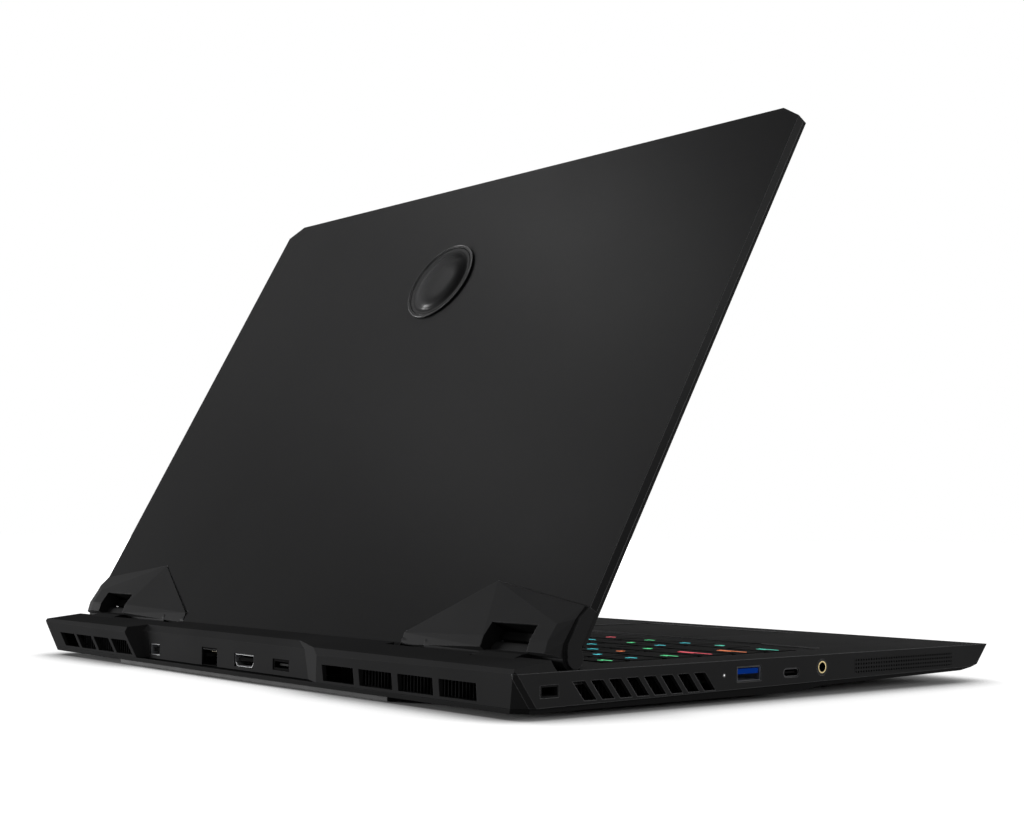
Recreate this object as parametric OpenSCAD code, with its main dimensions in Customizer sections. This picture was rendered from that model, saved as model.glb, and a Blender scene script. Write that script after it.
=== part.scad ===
// Gaming laptop computer, standing on its feet with the lid part way open.
// X runs from the user's left to the user's right, Y from front to back, Z up.
// The origin is on the table, under the middle of the base.

/* [Base] */
// Width of the base, left to right
base_w = 358; // [340:1:380]
// Depth of the base, front to back
base_d = 267; // [255:1:285]
// Height of the deck above the table
deck_z = 16; // [15.5:0.1:18]
// Height of the base's underside above the table
underside_z = 2.2; // [1.8:0.1:2.6]
// Wall thickness of the plastic shells
wall = 1.8; // [1.4:0.1:2.2]
// Thickness of the bottom cover's floor
floor_t = 1.3; // [1:0.1:1.6]
// Gap between neighbouring shells where they don't touch
shell_gap = 0.1; // [0.05:0.05:0.2]

/* [Base edges] */
// How far the front face rakes back from deck to nose
nose_in = 7.3; // [4:0.1:8]
// Height of the nose corner under the front face
nose_z = 7.7; // [7.2:0.1:8.4]
// How far behind the front the raised underside begins
chin_in = 18; // [15:1:24]
// Height of the underside at the chin
chin_z = 5.4; // [5:0.1:5.6]
// Height of the underside where the raised front part ends
step_z = 3.8; // [3.4:0.1:4.2]
// Distance from the rear to the foot of the step in the underside
step_from_rear = 158; // [155:1:162]
// Length of the step in the underside
step_len = 13; // [8:1:18]
// Height of the seam between the shells at the rear
seam_rear_z = 3.9; // [3.7:0.1:4.2]
// Height of the seam between the shells at the front
seam_front_z = 6.7; // [6.6:0.1:7]
// How far the underside is drawn in from the sides
underside_in = 2.7; // [1.5:0.1:3.5]

/* [Rear shelf] */
// Height of the shelf's front edge above the deck
shelf_front_up = 4.2; // [3.6:0.1:4.6]
// Height of the shelf's rear edge above the deck
shelf_rear_up = 1.6; // [1:0.1:2]
// Distance from the rear to the front edge of the shelf
shelf_from_rear = 22.9; // [22.5:0.1:23.3]
// Distance from the rear to where the shelf's bevel begins
shelf_bevel = 1.5; // [1:0.1:2.5]
// Height of the rear face's top edge, below the deck
rear_edge_down = 1.1; // [0.6:0.1:1.6]
// Slope of the rear face under its top edge
rear_undercut = 15; // [8:1:16]
// Sweep of the rear face towards each corner
rear_sweep = 0.5; // [0.2:0.1:2]
// Half width of the straight part of the rear face
rear_flat_half = 60; // [50:1:70]
// Inward lean of the shelf's sides
shelf_side_lean = 32; // [20:1:40]
// Distance from the rear to the corner facet, at deck height
corner_from_rear = 1.8; // [1:0.1:4]
// Direction that the corner facets face, from straight right
corner_azimuth = 42.6; // [36:0.1:60]
// Slope of the corner facets
corner_undercut = 26; // [20:1:34]

/* [Port bay and vents] */
// Depth of the port bay in the rear face
bay_depth = 7.5; // [6:0.1:8.5]
// Left end of the port bay's wall
bay_left = -46; // [-50:1:-45]
// Right end of the port bay's wall, at deck height
bay_right = 90.2; // [88:0.1:90.5]
// Direction that the bay's left end faces, from straight back
bay_left_turn = 21; // [18:1:30]
// Backward lean of the bay's left end
bay_left_lean = 5; // [0:1:10]
// Direction that the bay's right end faces, from straight left
bay_right_turn = 24.8; // [20:0.1:30]
// Slope of the bay's right end
bay_right_lean = 19.9; // [10:0.1:22]
// Width of the bevel along the top of the port bay
bay_bevel = 2.8; // [2:0.1:3.5]
// Height of the lower edge of the rear vent windows
vent_low_z = 5.1; // [5:0.1:5.6]
// Height of the rear vent windows
vent_h = 6.4; // [5:0.1:6.6]
// Width of a rear vent window on the left
left_vent_w = 20.3; // [18:0.1:21]
// Distance from one left rear window to the next
left_vent_pitch = 23.8; // [22.5:0.1:24]
// Inner end of the left rear windows
left_vent_start = 66; // [65.5:0.1:69]
// Sideways lean of the left rear windows
left_vent_lean = 1.5; // [0:0.1:2]
// Number of rear windows on each side
rear_vents = 4; // [2:1:4]
// Width of a rear vent window on the right
right_vent_w = 15.6; // [13:0.1:15.8]
// Distance from one right rear window to the next
right_vent_pitch = 18.2; // [17:0.1:18.2]
// Outer end of the right rear windows
right_vent_end = 164; // [163.5:0.1:166]
// Sideways lean of the right rear windows
right_vent_lean = 3; // [0:0.1:3.2]
// Number of vent windows in each side wall
side_vents = 8; // [5:1:8]
// Width of a side vent window
side_vent_w = 5.8; // [4.5:0.1:6]
// Distance from one side window to the next
side_vent_pitch = 8.45; // [7.5:0.05:8.5]
// Distance from the rear to the first side window
side_vent_from_rear = 26.3; // [25:0.1:29]
// Forward lean of the side windows
side_vent_lean = 5.5; // [0:0.1:6]
// Distance from the deck down to the top of the side windows
side_vent_down = 3.7; // [3.2:0.1:5]
// Height of the side windows
side_vent_h = 6.7; // [5:0.1:7.2]

/* [Lid] */
// Height of the hinge axis above the deck
pivot_up = 4; // [3.8:0.1:4.2]
// Distance from the rear to the hinge axis
pivot_from_rear = 28.2; // [28:0.1:28.4]
// Opening angle of the lid as it stands
lid_open = 60; // [40:1:90]
// Gap from the closed lid's front edge to the base's front
lid_front_gap = 0.9; // [0.5:0.1:2]
// How far each side of the lid stands inside the base
lid_side_gap = 0.4; // [0.2:0.1:1]
// Overall thickness of the lid
lid_t = 4.9; // [4.6:0.1:5.2]
// Height of the lid's outer face above the hinge axis, closed
lid_face_up = 3; // [2.9:0.1:3.1]
// Thickness of the lid cover's sheet
lid_skin = 1.2; // [1:0.1:1.4]
// Width of the lid cover's rim
lid_rim = 2; // [1.6:0.1:2.5]
// Thickness of the screen bezel
bezel_t = 1.4; // [1.2:0.1:1.5]
// Width of the corner cuts at the lid's free edge
lid_cut_x = 10; // [6:1:14]
// Depth of the corner cuts at the lid's free edge
lid_cut_y = 6; // [4:1:9]
// Visible width of the screen
screen_w = 344.2; // [330:0.1:345]
// Visible height of the screen
screen_h = 193.5; // [185:0.1:195]
// Bezel width above the screen
bezel_top = 12; // [9:0.5:15]
// Length of the lid below the hinge axis
lid_tail = 3; // [2:0.1:3.2]
// Diameter of the round badge
badge_d = 40.8; // [30:0.1:45]
// Thickness of the badge
badge_t = 0.8; // [0.5:0.1:1.2]
// Distance from the hinge axis to the badge's centre
badge_up = 179.5; // [150:0.5:190]
// Sideways place of the badge
badge_x = 9; // [-10:0.5:10]

/* [Hinges] */
// Distance from the middle to a hinge cover's inner end
cover_in = 84.3; // [82:0.1:86]
// Distance from the middle to a hinge cover's peak
cover_peak_x = 125; // [118:0.5:128]
// Distance from the hinge axis to a hinge cover's peak
cover_peak_up = 26.4; // [25.8:0.2:30]
// Distance from the hinge axis to a hinge cover's outer end
cover_end_up = 17.7; // [15:0.1:20]
// Height of a hinge cover's ridge above the lid
ridge_up = 4.8; // [4:0.1:5]
// Distance from the middle to the start of the full ridge
ridge_in = 136; // [130:0.5:136]
// Distance from the middle to the end of the full ridge
ridge_out = 170.5; // [169:0.1:171]
// Radius of the notch in the shelf for a hinge cover
notch_r = 9.6; // [9.3:0.1:9.8]
// Radius of the hinge cover's knuckle
knuckle_r = 4.6; // [4.4:0.1:4.8]
// Radius of the knuckle's thin inner end
thin_r = 3.3; // [3:0.1:3.4]
// Length of the knuckle's thin inner end
thin_len = 16; // [12:1:18]
// Radius of the hinge cover's outer tip, over the side wall
tip_r = 3.6; // [3.4:0.1:3.6]
// Middle of the hinge tongue, from the middle of the base
tongue_mid = 149; // [148.5:0.1:149.5]
// Width of the hinge tongue
tongue_w = 22.6; // [18:0.1:23]
// Gap on each side of the tongue in its slot
tongue_gap = 1.2; // [1:0.1:1.6]
// Length of the slot in the hinge cover, from the axis
slot_up = 8.2; // [8:0.1:8.4]
// Radius of the hinge tongue's barrel
barrel_r = 3.4; // [3:0.1:3.5]
// Height of the tongue's top above the hinge axis
tongue_up = 1; // [0.5:0.1:1]
// Radius of the hinge pin
pin_r = 1.5; // [1.2:0.1:1.8]
// Radial clearance of the hinge pin in the tongue
pin_fit = 0.05; // [0.02:0.01:0.08]
// Thickness of a friction washer
washer_t = 1; // [0.6:0.1:1]

/* [Keyboard] */
// Width of one key unit
key_unit = 19.2; // [18:0.05:19.3]
// Distance from one key row to the next
row_pitch = 19.05; // [18:0.05:19.3]
// Gap between keycaps
key_gap = 2.6; // [2:0.1:3.4]
// Depth of the keys in the function row
fn_key_d = 11; // [9:0.5:13]
// Height of a keycap
cap_h = 1.8; // [1.5:0.1:2]
// Height of the keycaps above the deck
cap_up = 0; // [-0.2:0.1:0.4]
// Key travel
key_travel = 1.5; // [1:0.1:1.6]
// Side of a key's square guide post
post_w = 4; // [3:0.1:5]
// Clearance of a key's post in the plate
post_fit = 0.3; // [0.2:0.05:0.4]
// Distance from the rear to the middle of the number row
number_from_rear = 83.2; // [81:0.1:85]
// Margin from the outer keys to the keyboard opening's edge
well_margin = 1.5; // [1:0.1:3]
// Depth of the recess around the keyboard
recess_t = 0.6; // [0.2:0.1:0.8]
// Width of the recess beyond the keyboard opening at its sides and rear
recess_side = 2.5; // [1:0.5:4]
// Depth of the recess in front of the keyboard opening
recess_front = 16; // [4:1:18]
// Size of the cuts at the recess's front corners
recess_corner = 6; // [0:1:10]
// Thickness of the keyboard plate
plate_t = 0.9; // [0.8:0.1:1]

/* [Touchpad and power button] */
// Width of the touchpad
pad_w = 97; // [90:1:110]
// Depth of the touchpad
pad_d = 64; // [60:1:65]
// Thickness of the touchpad
pad_t = 1.2; // [1:0.1:1.4]
// Distance from the front to the touchpad
pad_from_front = 14; // [13:0.5:20]
// Gap around the touchpad and the power button
button_gap = 0.35; // [0.3:0.05:0.4]
// How far the touchpad's face lies under the deck
pad_down = 0.4; // [0:0.05:0.5]
// Width of the power button
power_w = 16; // [10:1:20]
// Depth of the power button
power_d = 6; // [5:0.5:7]
// Distance from the middle to the power button
power_x = 140; // [100:1:150]
// Distance from the rear to the power button
power_from_rear = 41; // [40:0.5:42]
// Travel of the power button
power_travel = 0.5; // [0.3:0.1:0.6]

/* [Ports] */
// Width of a USB type A shell
usb_a_w = 13.1; // [13:0.1:14.5]
// Height of a USB type A shell
usb_a_h = 5.4; // [5:0.1:5.7]
// Width of the USB type C shell
usb_c_w = 8.9; // [8.8:0.05:9.2]
// Height of the USB type C shell
usb_c_h = 3.2; // [3:0.05:3.4]
// Width of the HDMI shell
hdmi_w = 14.8; // [14.5:0.1:15.5]
// Height of the HDMI shell
hdmi_h = 5.2; // [4.8:0.1:5.6]
// Width of the mini display port shell
mini_dp_w = 8.4; // [8:0.1:9]
// Height of the mini display port shell
mini_dp_h = 5; // [4.8:0.1:5.4]
// Thickness of the port shells
shell_t = 0.35; // [0.3:0.05:0.5]
// Depth of the ports behind the wall's outer face
port_depth = 13; // [11:0.5:14]
// Width of the ethernet socket's housing
ethernet_w = 14.2; // [14:0.1:15]
// Width of the ethernet socket's opening
ethernet_open_w = 11.8; // [11.7:0.1:12]
// Height of the ethernet socket's opening
ethernet_open_h = 6.8; // [6.7:0.1:7]
// Width of the power inlet
inlet_w = 12; // [11:0.1:13]
// Height of the power inlet
inlet_h = 4.3; // [4:0.1:5]
// Radius of the audio jack's hole
jack_r = 1.78; // [1.75:0.01:1.8]
// Outer radius of the audio jack's ring
jack_ring_r = 3; // [2.6:0.1:3.2]
// Width of the lock slot
lock_w = 7; // [6.8:0.1:7.2]
// Height of the lock slot
lock_h = 3; // [2.9:0.1:3.2]
// Radius of a status light
light_r = 0.6; // [0.4:0.1:0.8]
// Clearance of a port in the wall around it
port_fit = 0.15; // [0.1:0.05:0.3]

/* [Inside] */
// Radius of a fan rotor
fan_r = 31; // [28:0.5:32]
// Radius of a fan's hub
hub_r = 11; // [9:0.5:13]
// Number of blades on a fan
fan_blades = 29; // [17:2:37]
// Distance from the middle to a fan's axis
fan_x = 112; // [110:0.5:114]
// Distance from the rear to a fan's axis
fan_from_rear = 72; // [71:0.5:73]
// Gap between the rotor and its housing
fan_gap = 1.5; // [1:0.1:2]
// Thickness of a heatsink fin
fin_t = 0.5; // [0.3:0.05:0.7]
// Distance from one heatsink fin to the next
fin_pitch = 2; // [1.6:0.1:2.6]
// Radius of a heat pipe
pipe_r = 1.75; // [1.4:0.05:1.8]
// Depth of the battery
battery_d = 57; // [50:1:58]
// Width of the battery
battery_w = 262; // [240:1:270]
// Thickness of the battery
battery_t = 5.8; // [4.8:0.1:6]

/* [Hidden] */
$fn = 48;

// Tiny overlap that makes a cut run clean through a face.
cut = 0.5;
// Length that reaches past everything.
far = 400;

half_w = base_w / 2;
front_y = -base_d / 2;
rear_y = base_d / 2;
pivot_y = rear_y - pivot_from_rear;
pivot_z = deck_z + pivot_up;
deck_under = deck_z - wall;
shelf_y = rear_y - shelf_from_rear;
shelf_edge_y = rear_y - shelf_bevel;
shelf_front_z = deck_z + shelf_front_up;
shelf_rear_z = deck_z + shelf_rear_up;
rear_edge_z = deck_z - rear_edge_down;
inner_half_w = half_w - wall;
nose_y = front_y + nose_in;
rear_wall_y = rear_y - bay_depth;
chin_y = front_y + chin_in;
step_y = rear_y - step_from_rear;
inner_front_y = nose_y + 2 * wall;

// The trough in front of the shelf, in which the lid's lower edge turns.
trough_front_y = pivot_y - 6;
trough_z = pivot_z - 7.6;
trough_t = 1.4;

function seam_z(y) = seam_rear_z + (seam_front_z - seam_rear_z) * (rear_y - y) / (rear_y - nose_y);
function shelf_z(y) = shelf_front_z + (shelf_rear_z - shelf_front_z) * (y - shelf_y) / (shelf_edge_y - shelf_y);
// Underside of the bottom cover in its raised front part.
function chin_slope_z(y) = step_z + (chin_z - step_z) * (step_y - y) / (step_y - chin_y);

module both_sides() {
    children();
    mirror([1, 0, 0]) children();
}

// Extrudes a drawing made in Y and Z along X, from x0 to x1.
module along_x(x0, x1) {
    translate([x0, 0, 0]) rotate([90, 0, 90]) linear_extrude(x1 - x0) children();
}

// Extrudes a drawing made in X and Z along Y, from y0 to y1.
module along_y(y0, y1) {
    translate([0, y1, 0]) rotate([90, 0, 0]) linear_extrude(y1 - y0) children();
}

module block(x0, x1, y0, y1, z0, z1) {
    translate([x0, y0, z0]) cube([x1 - x0, y1 - y0, z1 - z0]);
}

// A round bar along X.
module bar_x(x0, x1, r) {
    translate([x0, 0, 0]) rotate([0, 90, 0]) cylinder(h = x1 - x0, r = r);
}

// Everything beyond a plane through origin, which faces azimuth and leans down by undercut.
module beyond(origin, azimuth, undercut, inset) {
    translate(origin) rotate([0, 0, azimuth]) rotate([0, undercut, 0])
        translate([-inset, -far / 2, -far / 2]) cube([far / 2, far, far]);
}

// What the swept rear faces and the corner facets cut away, moved in by inset.
module rear_cuts(inset) {
    both_sides() {
        beyond([rear_flat_half, rear_y, rear_edge_z], 90 - rear_sweep, rear_undercut, inset);
        beyond([half_w, rear_y - corner_from_rear, deck_z], corner_azimuth, corner_undercut, inset);
    }
}

/* ---- lower shell ---- */

module bottom_outline(inset) {
    polygon([
        [nose_y + 3.5, seam_z(nose_y + 3.5)],
        [chin_y + inset, chin_z + inset],
        [step_y - inset / 2, step_z + inset],
        [step_y + step_len - inset / 2, underside_z + inset],
        [rear_y, underside_z + inset],
        [rear_y, seam_rear_z + (inset > 0 ? far : 0)],
        [nose_y + 3.5 + inset, seam_z(nose_y + 3.5) + (inset > 0 ? far : 0)]
    ]);
}

module underside_trapezium(inset) {
    polygon([
        [-half_w + underside_in + inset, underside_z - cut],
        [half_w - underside_in - inset, underside_z - cut],
        [half_w - inset, seam_front_z],
        [half_w - inset, far],
        [-half_w + inset, far],
        [-half_w + inset, seam_front_z]
    ]);
}

// Places of the screws that close the base.
front_screw_y = front_y + 26;
pad_x = -36;
pad_screw_x = pad_w / 2 + 8;
front_screws = [for (x = [-136, pad_x - pad_screw_x, pad_x + pad_screw_x, 136]) [x, front_screw_y]];
middle_screws = [for (s = [-1, 1]) [s * 140, rear_y - 178]];
side_screws = [for (s = [-1, 1]) [s * (half_w - 15), rear_y - 95.5]];
rear_screws = [for (x = [-72, 0, 72]) [x, rear_y - 29.5]];
screws = concat(front_screws, middle_screws, side_screws, rear_screws);
screw_head_r = 2.6;
screw_head_t = 0.7;
screw_shank_r = 1.2;
screw_boss_r = 2.6;
function underside_at(y) = y < step_y ? chin_slope_z(y)
    : y > step_y + step_len ? underside_z
    : step_z + (underside_z - step_z) * (y - step_y) / step_len;

module each_screw() {
    for (p = screws) translate([p[0], p[1], underside_at(p[1] + screw_head_r)]) children();
}

foot_w = 34;
foot_d = 8;
front_foot_x = 102;
front_foot_y = front_y + 28;
rear_foot_left = -100;
rear_foot_right = 110;
rear_foot_y = rear_y - 16;
rear_foot_d = 9;
intake_slots = 22;
intake_slot_w = 2.2;
intake_slot_pitch = 3.4;

module bottom_cover() color([0.07, 0.07, 0.075]) difference() {
    intersection() {
        along_x(-half_w, half_w) bottom_outline(0);
        along_y(front_y, rear_y) underside_trapezium(0);
    }
    difference() {
        intersection() {
            along_x(-half_w, half_w) bottom_outline(floor_t);
            along_y(front_y, rear_y) underside_trapezium(floor_t);
        }
        rear_cuts(floor_t);
        // Pads around the screw holes.
        each_screw() translate([0, 0, -cut]) cylinder(h = floor_t + screw_head_t + cut, r = screw_boss_r + 1);
    }
    rear_cuts(0);
    each_screw() {
        translate([0, 0, -3]) cylinder(h = 3 + screw_head_t + 0.1, r = screw_head_r + 0.2);
        translate([0, 0, -cut]) cylinder(h = 9, r = screw_shank_r + 0.2);
    }
    // Air intakes under the fans.
    both_sides() for (i = [0 : intake_slots - 1])
        translate([fan_x + (i - (intake_slots - 1) / 2) * intake_slot_pitch, rear_y - fan_from_rear, 0])
            block(-intake_slot_w / 2, intake_slot_w / 2, -24, 24, 0, underside_z + 2 * floor_t);
}

module rubber_feet() color([0.03, 0.03, 0.03]) {
    block(rear_foot_left, rear_foot_right, rear_foot_y, rear_foot_y + rear_foot_d, 0, underside_z);
    both_sides() block(front_foot_x - foot_w / 2, front_foot_x + foot_w / 2,
        front_foot_y, front_foot_y + foot_d, 0, chin_slope_z(front_foot_y + foot_d));
}

module bottom_screws() color([0.2, 0.2, 0.21]) each_screw() {
    difference() {
        translate([0, 0, 0.1]) cylinder(h = screw_head_t, r = screw_head_r);
        translate([-0.4, -1.5, 0]) cube([0.8, 3, 0.4]);
        translate([-1.5, -0.4, 0]) cube([3, 0.8, 0.4]);
    }
    translate([0, 0, 0.1 + screw_head_t / 2]) cylinder(h = 5.6, r = screw_shank_r);
}

/* ---- top case ---- */

board_top_z = underside_z + 3.1;
board_t = 1.1;
port_board_z = deck_z - 8.4;

// Rows from the front: widths of the keys in units.
rows = [
    [1.25, 1, 1, 1.25, 5.75, 1, 1, 1.25, 1, 1, 1],
    [2.25, 1, 1, 1, 1, 1, 1, 1, 1, 1, 1, 2, 1, 1.25],
    [1.75, 1, 1, 1, 1, 1, 1, 1, 1, 1, 1, 1, 2.5, 1.25],
    [1.5, 1, 1, 1, 1, 1, 1, 1, 1, 1, 1, 1, 1, 1.75, 1.25],
    [1, 1, 1, 1, 1, 1, 1, 1, 1, 1, 1, 1, 1, 2.25, 1.25],
    [for (i = [1 : 16]) 16.5 / 16]
];
row_units = 16.5;
number_row = 4;
fn_row = 5;
number_y = rear_y - number_from_rear;
key_d = row_pitch - key_gap;
fn_y = number_y + key_d / 2 + key_gap + fn_key_d / 2;
keys_half_w = row_units * key_unit / 2;
keys_front_y = number_y - number_row * row_pitch - key_d / 2;
keys_rear_y = fn_y + fn_key_d / 2;
cap_z = deck_z + cap_up - cap_h;
plate_z = cap_z - key_travel - 0.25 - plate_t;

function units_before(row, k) = k == 0 ? 0 : rows[row][k - 1] + units_before(row, k - 1);
function key_x(row, k) = (units_before(row, k) + rows[row][k] / 2) * key_unit - keys_half_w;
function key_y(row) = row == fn_row ? fn_y : number_y + (row - number_row) * row_pitch;
function key_depth(row) = row == fn_row ? fn_key_d : key_d;

well_x = keys_half_w - key_gap / 2 + well_margin;
well_front = keys_front_y - well_margin;
well_rear = keys_rear_y + well_margin;

pad_y = front_y + pad_from_front;
pad_top = deck_z - pad_down;

// A slanted window in the left side wall, seen as Y and Z.
module side_window(i) {
    y = rear_y - side_vent_from_rear - i * side_vent_pitch;
    top = deck_z - side_vent_down;
    polygon([
        [y, top], [y - side_vent_w, top],
        [y - side_vent_w - side_vent_lean, top - side_vent_h], [y - side_vent_lean, top - side_vent_h]
    ]);
}

// Where the ports stand in the side walls: distance from the rear, and height.
usb_a_from_rear = 115.1;
usb_a_right_step = 24;
usb_a_z = deck_z - 5.4;
usb_c_from_rear = 139;
usb_c_z = deck_z - 6.1;
jack_from_rear = 157.1;
jack_z = deck_z - 4.9;
lock_from_rear = 16;
lock_z = deck_z - 6.4;
light_from_rear = 101.4;
light_z = deck_z - 5.3;
usb_a_ys = [rear_y - usb_a_from_rear, rear_y - usb_a_from_rear, rear_y - usb_a_from_rear - usb_a_right_step];
usb_a_sides = [-1, 1, 1];
usb_c_y = rear_y - usb_c_from_rear;
jack_y = rear_y - jack_from_rear;
lock_y = rear_y - lock_from_rear;
light_y = rear_y - light_from_rear;
// The speaker grilles in the side walls.
grille_front_y = front_y + 25.5;
grille_len = 64;
grille_low_z = seam_front_z + 1.1;
grille_h = 5.4;
grille_t = 0.8;
grille_columns = 7;
grille_rows = 3;

boss_r = 2.4;
// A post from height top down to the bottom cover, with a hole for the screw.
module screw_post(place, top) difference() {
    low = underside_at(place[1] + screw_head_r) + floor_t + screw_head_t + 0.3;
    translate([place[0], place[1], low]) cylinder(h = top + 0.1 - low, r = screw_boss_r);
    translate([place[0], place[1], 0]) cylinder(h = low + 4.6, r = screw_shank_r + 0.1);
}

module case_posts() {
    for (p = concat(front_screws, middle_screws, side_screws)) screw_post(p, deck_under);
    for (p = rear_screws) screw_post(p, trough_z - trough_t);
    // Posts that carry the two port boards.
    both_sides() for (y = [usb_a_ys[0] + 12, jack_y - 8])
        translate([half_w - 17, y, port_board_z]) cylinder(h = deck_under - port_board_z + 0.1, r = boss_r);
}

module recess_outline() {
    x = well_x + recess_side;
    y = well_front - recess_front;
    polygon([
        [-x, well_rear + recess_side], [x, well_rear + recess_side],
        [x, y + 2 * recess_corner], [x - recess_corner, y],
        [recess_corner - x, y], [-x, y + 2 * recess_corner]
    ]);
}

module top_case() color([0.09, 0.09, 0.095]) {
    difference() {
        along_x(-half_w, half_w) polygon([
            [front_y, deck_z],
            [nose_y, nose_z],
            [nose_y + 3.5, seam_z(nose_y + 3.5) + shell_gap],
            [rear_y, seam_rear_z + shell_gap],
            [rear_y, deck_z]
        ]);
        rear_cuts(0);
        // Room inside, under the deck and under the trough.
        block(-inner_half_w, inner_half_w, inner_front_y, trough_front_y - trough_t, 0, deck_under);
        block(-inner_half_w, inner_half_w, trough_front_y - trough_t - cut, far, 0, trough_z - trough_t);
        block(-inner_half_w, inner_half_w, trough_front_y, far, trough_z, far);
        block(-inner_half_w, inner_half_w, shelf_y - shell_gap, far, -cut, far);
        // Keyboard opening, with a shallow recess around it.
        block(-well_x, well_x, well_front, well_rear, 0, far);
        translate([0, 0, deck_z - recess_t]) linear_extrude(far) recess_outline();
        // Touchpad opening, with the ledge that it hinges on left standing.
        block(pad_x - pad_w / 2 - button_gap, pad_x + pad_w / 2 + button_gap,
            pad_y - button_gap, pad_y + pad_d + button_gap, 0, far);
        // Power button opening.
        block(power_x - power_w / 2 - button_gap, power_x + power_w / 2 + button_gap,
            rear_y - power_from_rear - power_d / 2 - button_gap,
            rear_y - power_from_rear + power_d / 2 + button_gap, 0, far);
        // Side vents, ports, lights and grilles.
        both_sides() along_x(-half_w - cut, -inner_half_w + cut)
            for (i = [0 : side_vents - 1]) side_window(i);
        for (i = [0 : 2]) translate([usb_a_sides[i] * (half_w - wall / 2), usb_a_ys[i], usb_a_z])
            cube([wall + 2 * cut, usb_a_w + 2 * port_fit, usb_a_h + 2 * port_fit], center = true);
        translate([-half_w + wall / 2, usb_c_y, usb_c_z]) rotate([90, 0, 90])
            pill(usb_c_w + 2 * port_fit, usb_c_h + 2 * port_fit, wall + 2 * cut);
        translate([-half_w - cut, jack_y, jack_z]) rotate([0, 90, 0])
            cylinder(h = wall + 2 * cut, r = jack_ring_r + port_fit);
        translate([-half_w + wall / 2, lock_y, lock_z])
            cube([wall + 2 * cut, lock_w + 2 * lock_rim, lock_h + 2 * lock_rim], center = true);
        translate([-half_w - cut, light_y, light_z]) rotate([0, 90, 0])
            cylinder(h = wall + 2 * cut, r = light_r + port_fit);
        both_sides() translate([half_w - grille_t, grille_front_y, grille_low_z])
            cube([grille_t + cut, grille_len, grille_h]);
        both_sides() translate([half_w - wall - cut, grille_front_y + 3, grille_low_z + 1])
            cube([wall + 2 * cut, grille_len - 6, grille_h - 2]);
    }
    case_posts();
    // Rails under the keyboard opening that the plate is screwed to.
    for (y = [well_front - 3, well_rear])
        block(-well_x, well_x, y, y + 3, plate_z + plate_t, deck_under + 0.1);
    // Ledges in front of and behind the touchpad and beside the power button.
    for (y = [pad_y - button_gap - 4, pad_y + pad_d + button_gap])
        block(pad_x - pad_w / 2, pad_x + pad_w / 2, y, y + 4, pad_top - pad_t - 1.2, deck_under + 0.1);
    block(pad_x - pad_w / 2, pad_x + pad_w / 2, pad_y + pad_d - 4, pad_y + pad_d + button_gap + 1,
        pad_top - pad_t - 1.2, pad_top - pad_t - 0.05);
}

// A flat bar with round ends, along Z, centred.
module pill(w, h, depth) {
    linear_extrude(depth, center = true) union() {
        square([w - h, h], center = true);
        for (s = [-1, 1]) translate([s * (w - h) / 2, 0]) circle(d = h);
    }
}

/* ---- rear shroud: the shelf behind the lid, the vents and the port bay ---- */

// The space of the port bay, grown by inset, with its front moved further in by more.
module bay(inset, more) difference() {
    block(-inner_half_w, inner_half_w, rear_y - bay_depth - inset - more, far, -cut, far);
    beyond([bay_left, rear_wall_y, deck_z / 2], 270 - bay_left_turn, -bay_left_lean, -inset);
    beyond([bay_right, rear_wall_y, deck_z], -bay_right_turn, bay_right_lean, -inset);
}

module shroud_envelope(inset) {
    open_x = inner_half_w - shell_gap - inset;
    wall_y = shelf_y + max(inset, wall);
    low = inset > 0 ? -cut : seam_z(rear_y) + shell_gap;
    low_front = inset > 0 ? -cut : seam_z(wall_y) + shell_gap;
    difference() {
        intersection() {
            along_x(-half_w, half_w) polygon([
                [shelf_y + inset, shelf_front_z - inset],
                [shelf_y + inset, inset > 0 ? low : trough_z - trough_t],
                [wall_y, inset > 0 ? low : trough_z - trough_t],
                [wall_y, low_front],
                [rear_y, low],
                [rear_y, rear_edge_z],
                [rear_y - inset, rear_edge_z - inset / 3],
                [shelf_edge_y - inset * 0.7, shelf_rear_z - inset]
            ]);
            union() {
                block(-open_x, open_x, 0, far, -cut, far);
                if (inset == 0) block(-half_w, half_w, 0, far, deck_z + shell_gap, far);
            }
        }
        rear_cuts(inset);
        both_sides() beyond([half_w, 0, deck_z], 0, -shelf_side_lean, inset);
        // Notches in which the hinge covers turn.
        both_sides() translate([0, pivot_y, pivot_z]) bar_x(cover_in - 1.8 - inset, half_w + cut, notch_r + inset);
        bay(inset, 0);
    }
}

// A window in the rear wall whose lower edge is moved sideways by lean.
module rear_window(x0, x1, lean) along_y(rear_y - 13, rear_y + cut) polygon([
    [x1, vent_low_z + vent_h], [x0, vent_low_z + vent_h], [x0 + lean, vent_low_z], [x1 + lean, vent_low_z]
]);

// Windows in the rear wall, left and right.
module rear_windows() {
    for (i = [0 : rear_vents - 1]) {
        xl = -left_vent_start - i * left_vent_pitch;
        rear_window(xl - left_vent_w, xl, left_vent_lean);
        xr = right_vent_end - i * right_vent_pitch;
        rear_window(xr - right_vent_w, xr, -right_vent_lean);
    }
}

// Places of the rear ports, along the port bay.
mini_dp_x = 78;
ethernet_x = 29.6;
hdmi_x = 1.4;
inlet_x = -27;
mini_dp_z = 8.1;
hdmi_z = 8.1;
inlet_z = 8.3;
ethernet_low_z = 4.1;
ethernet_rim = 0.4;
hinge_boss_z = deck_z - 3.2;
hinge_boss_y = pivot_y + 16;
hinge_boss_xs = [tongue_mid - 7, tongue_mid + 7];

module tongue_opening() {
    both_sides() block(tongue_mid - tongue_w / 2 - 0.3, tongue_mid + tongue_w / 2 + 0.3,
        pivot_y + 8.2, pivot_y + 13.2, trough_z - trough_t, far);
}

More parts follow.
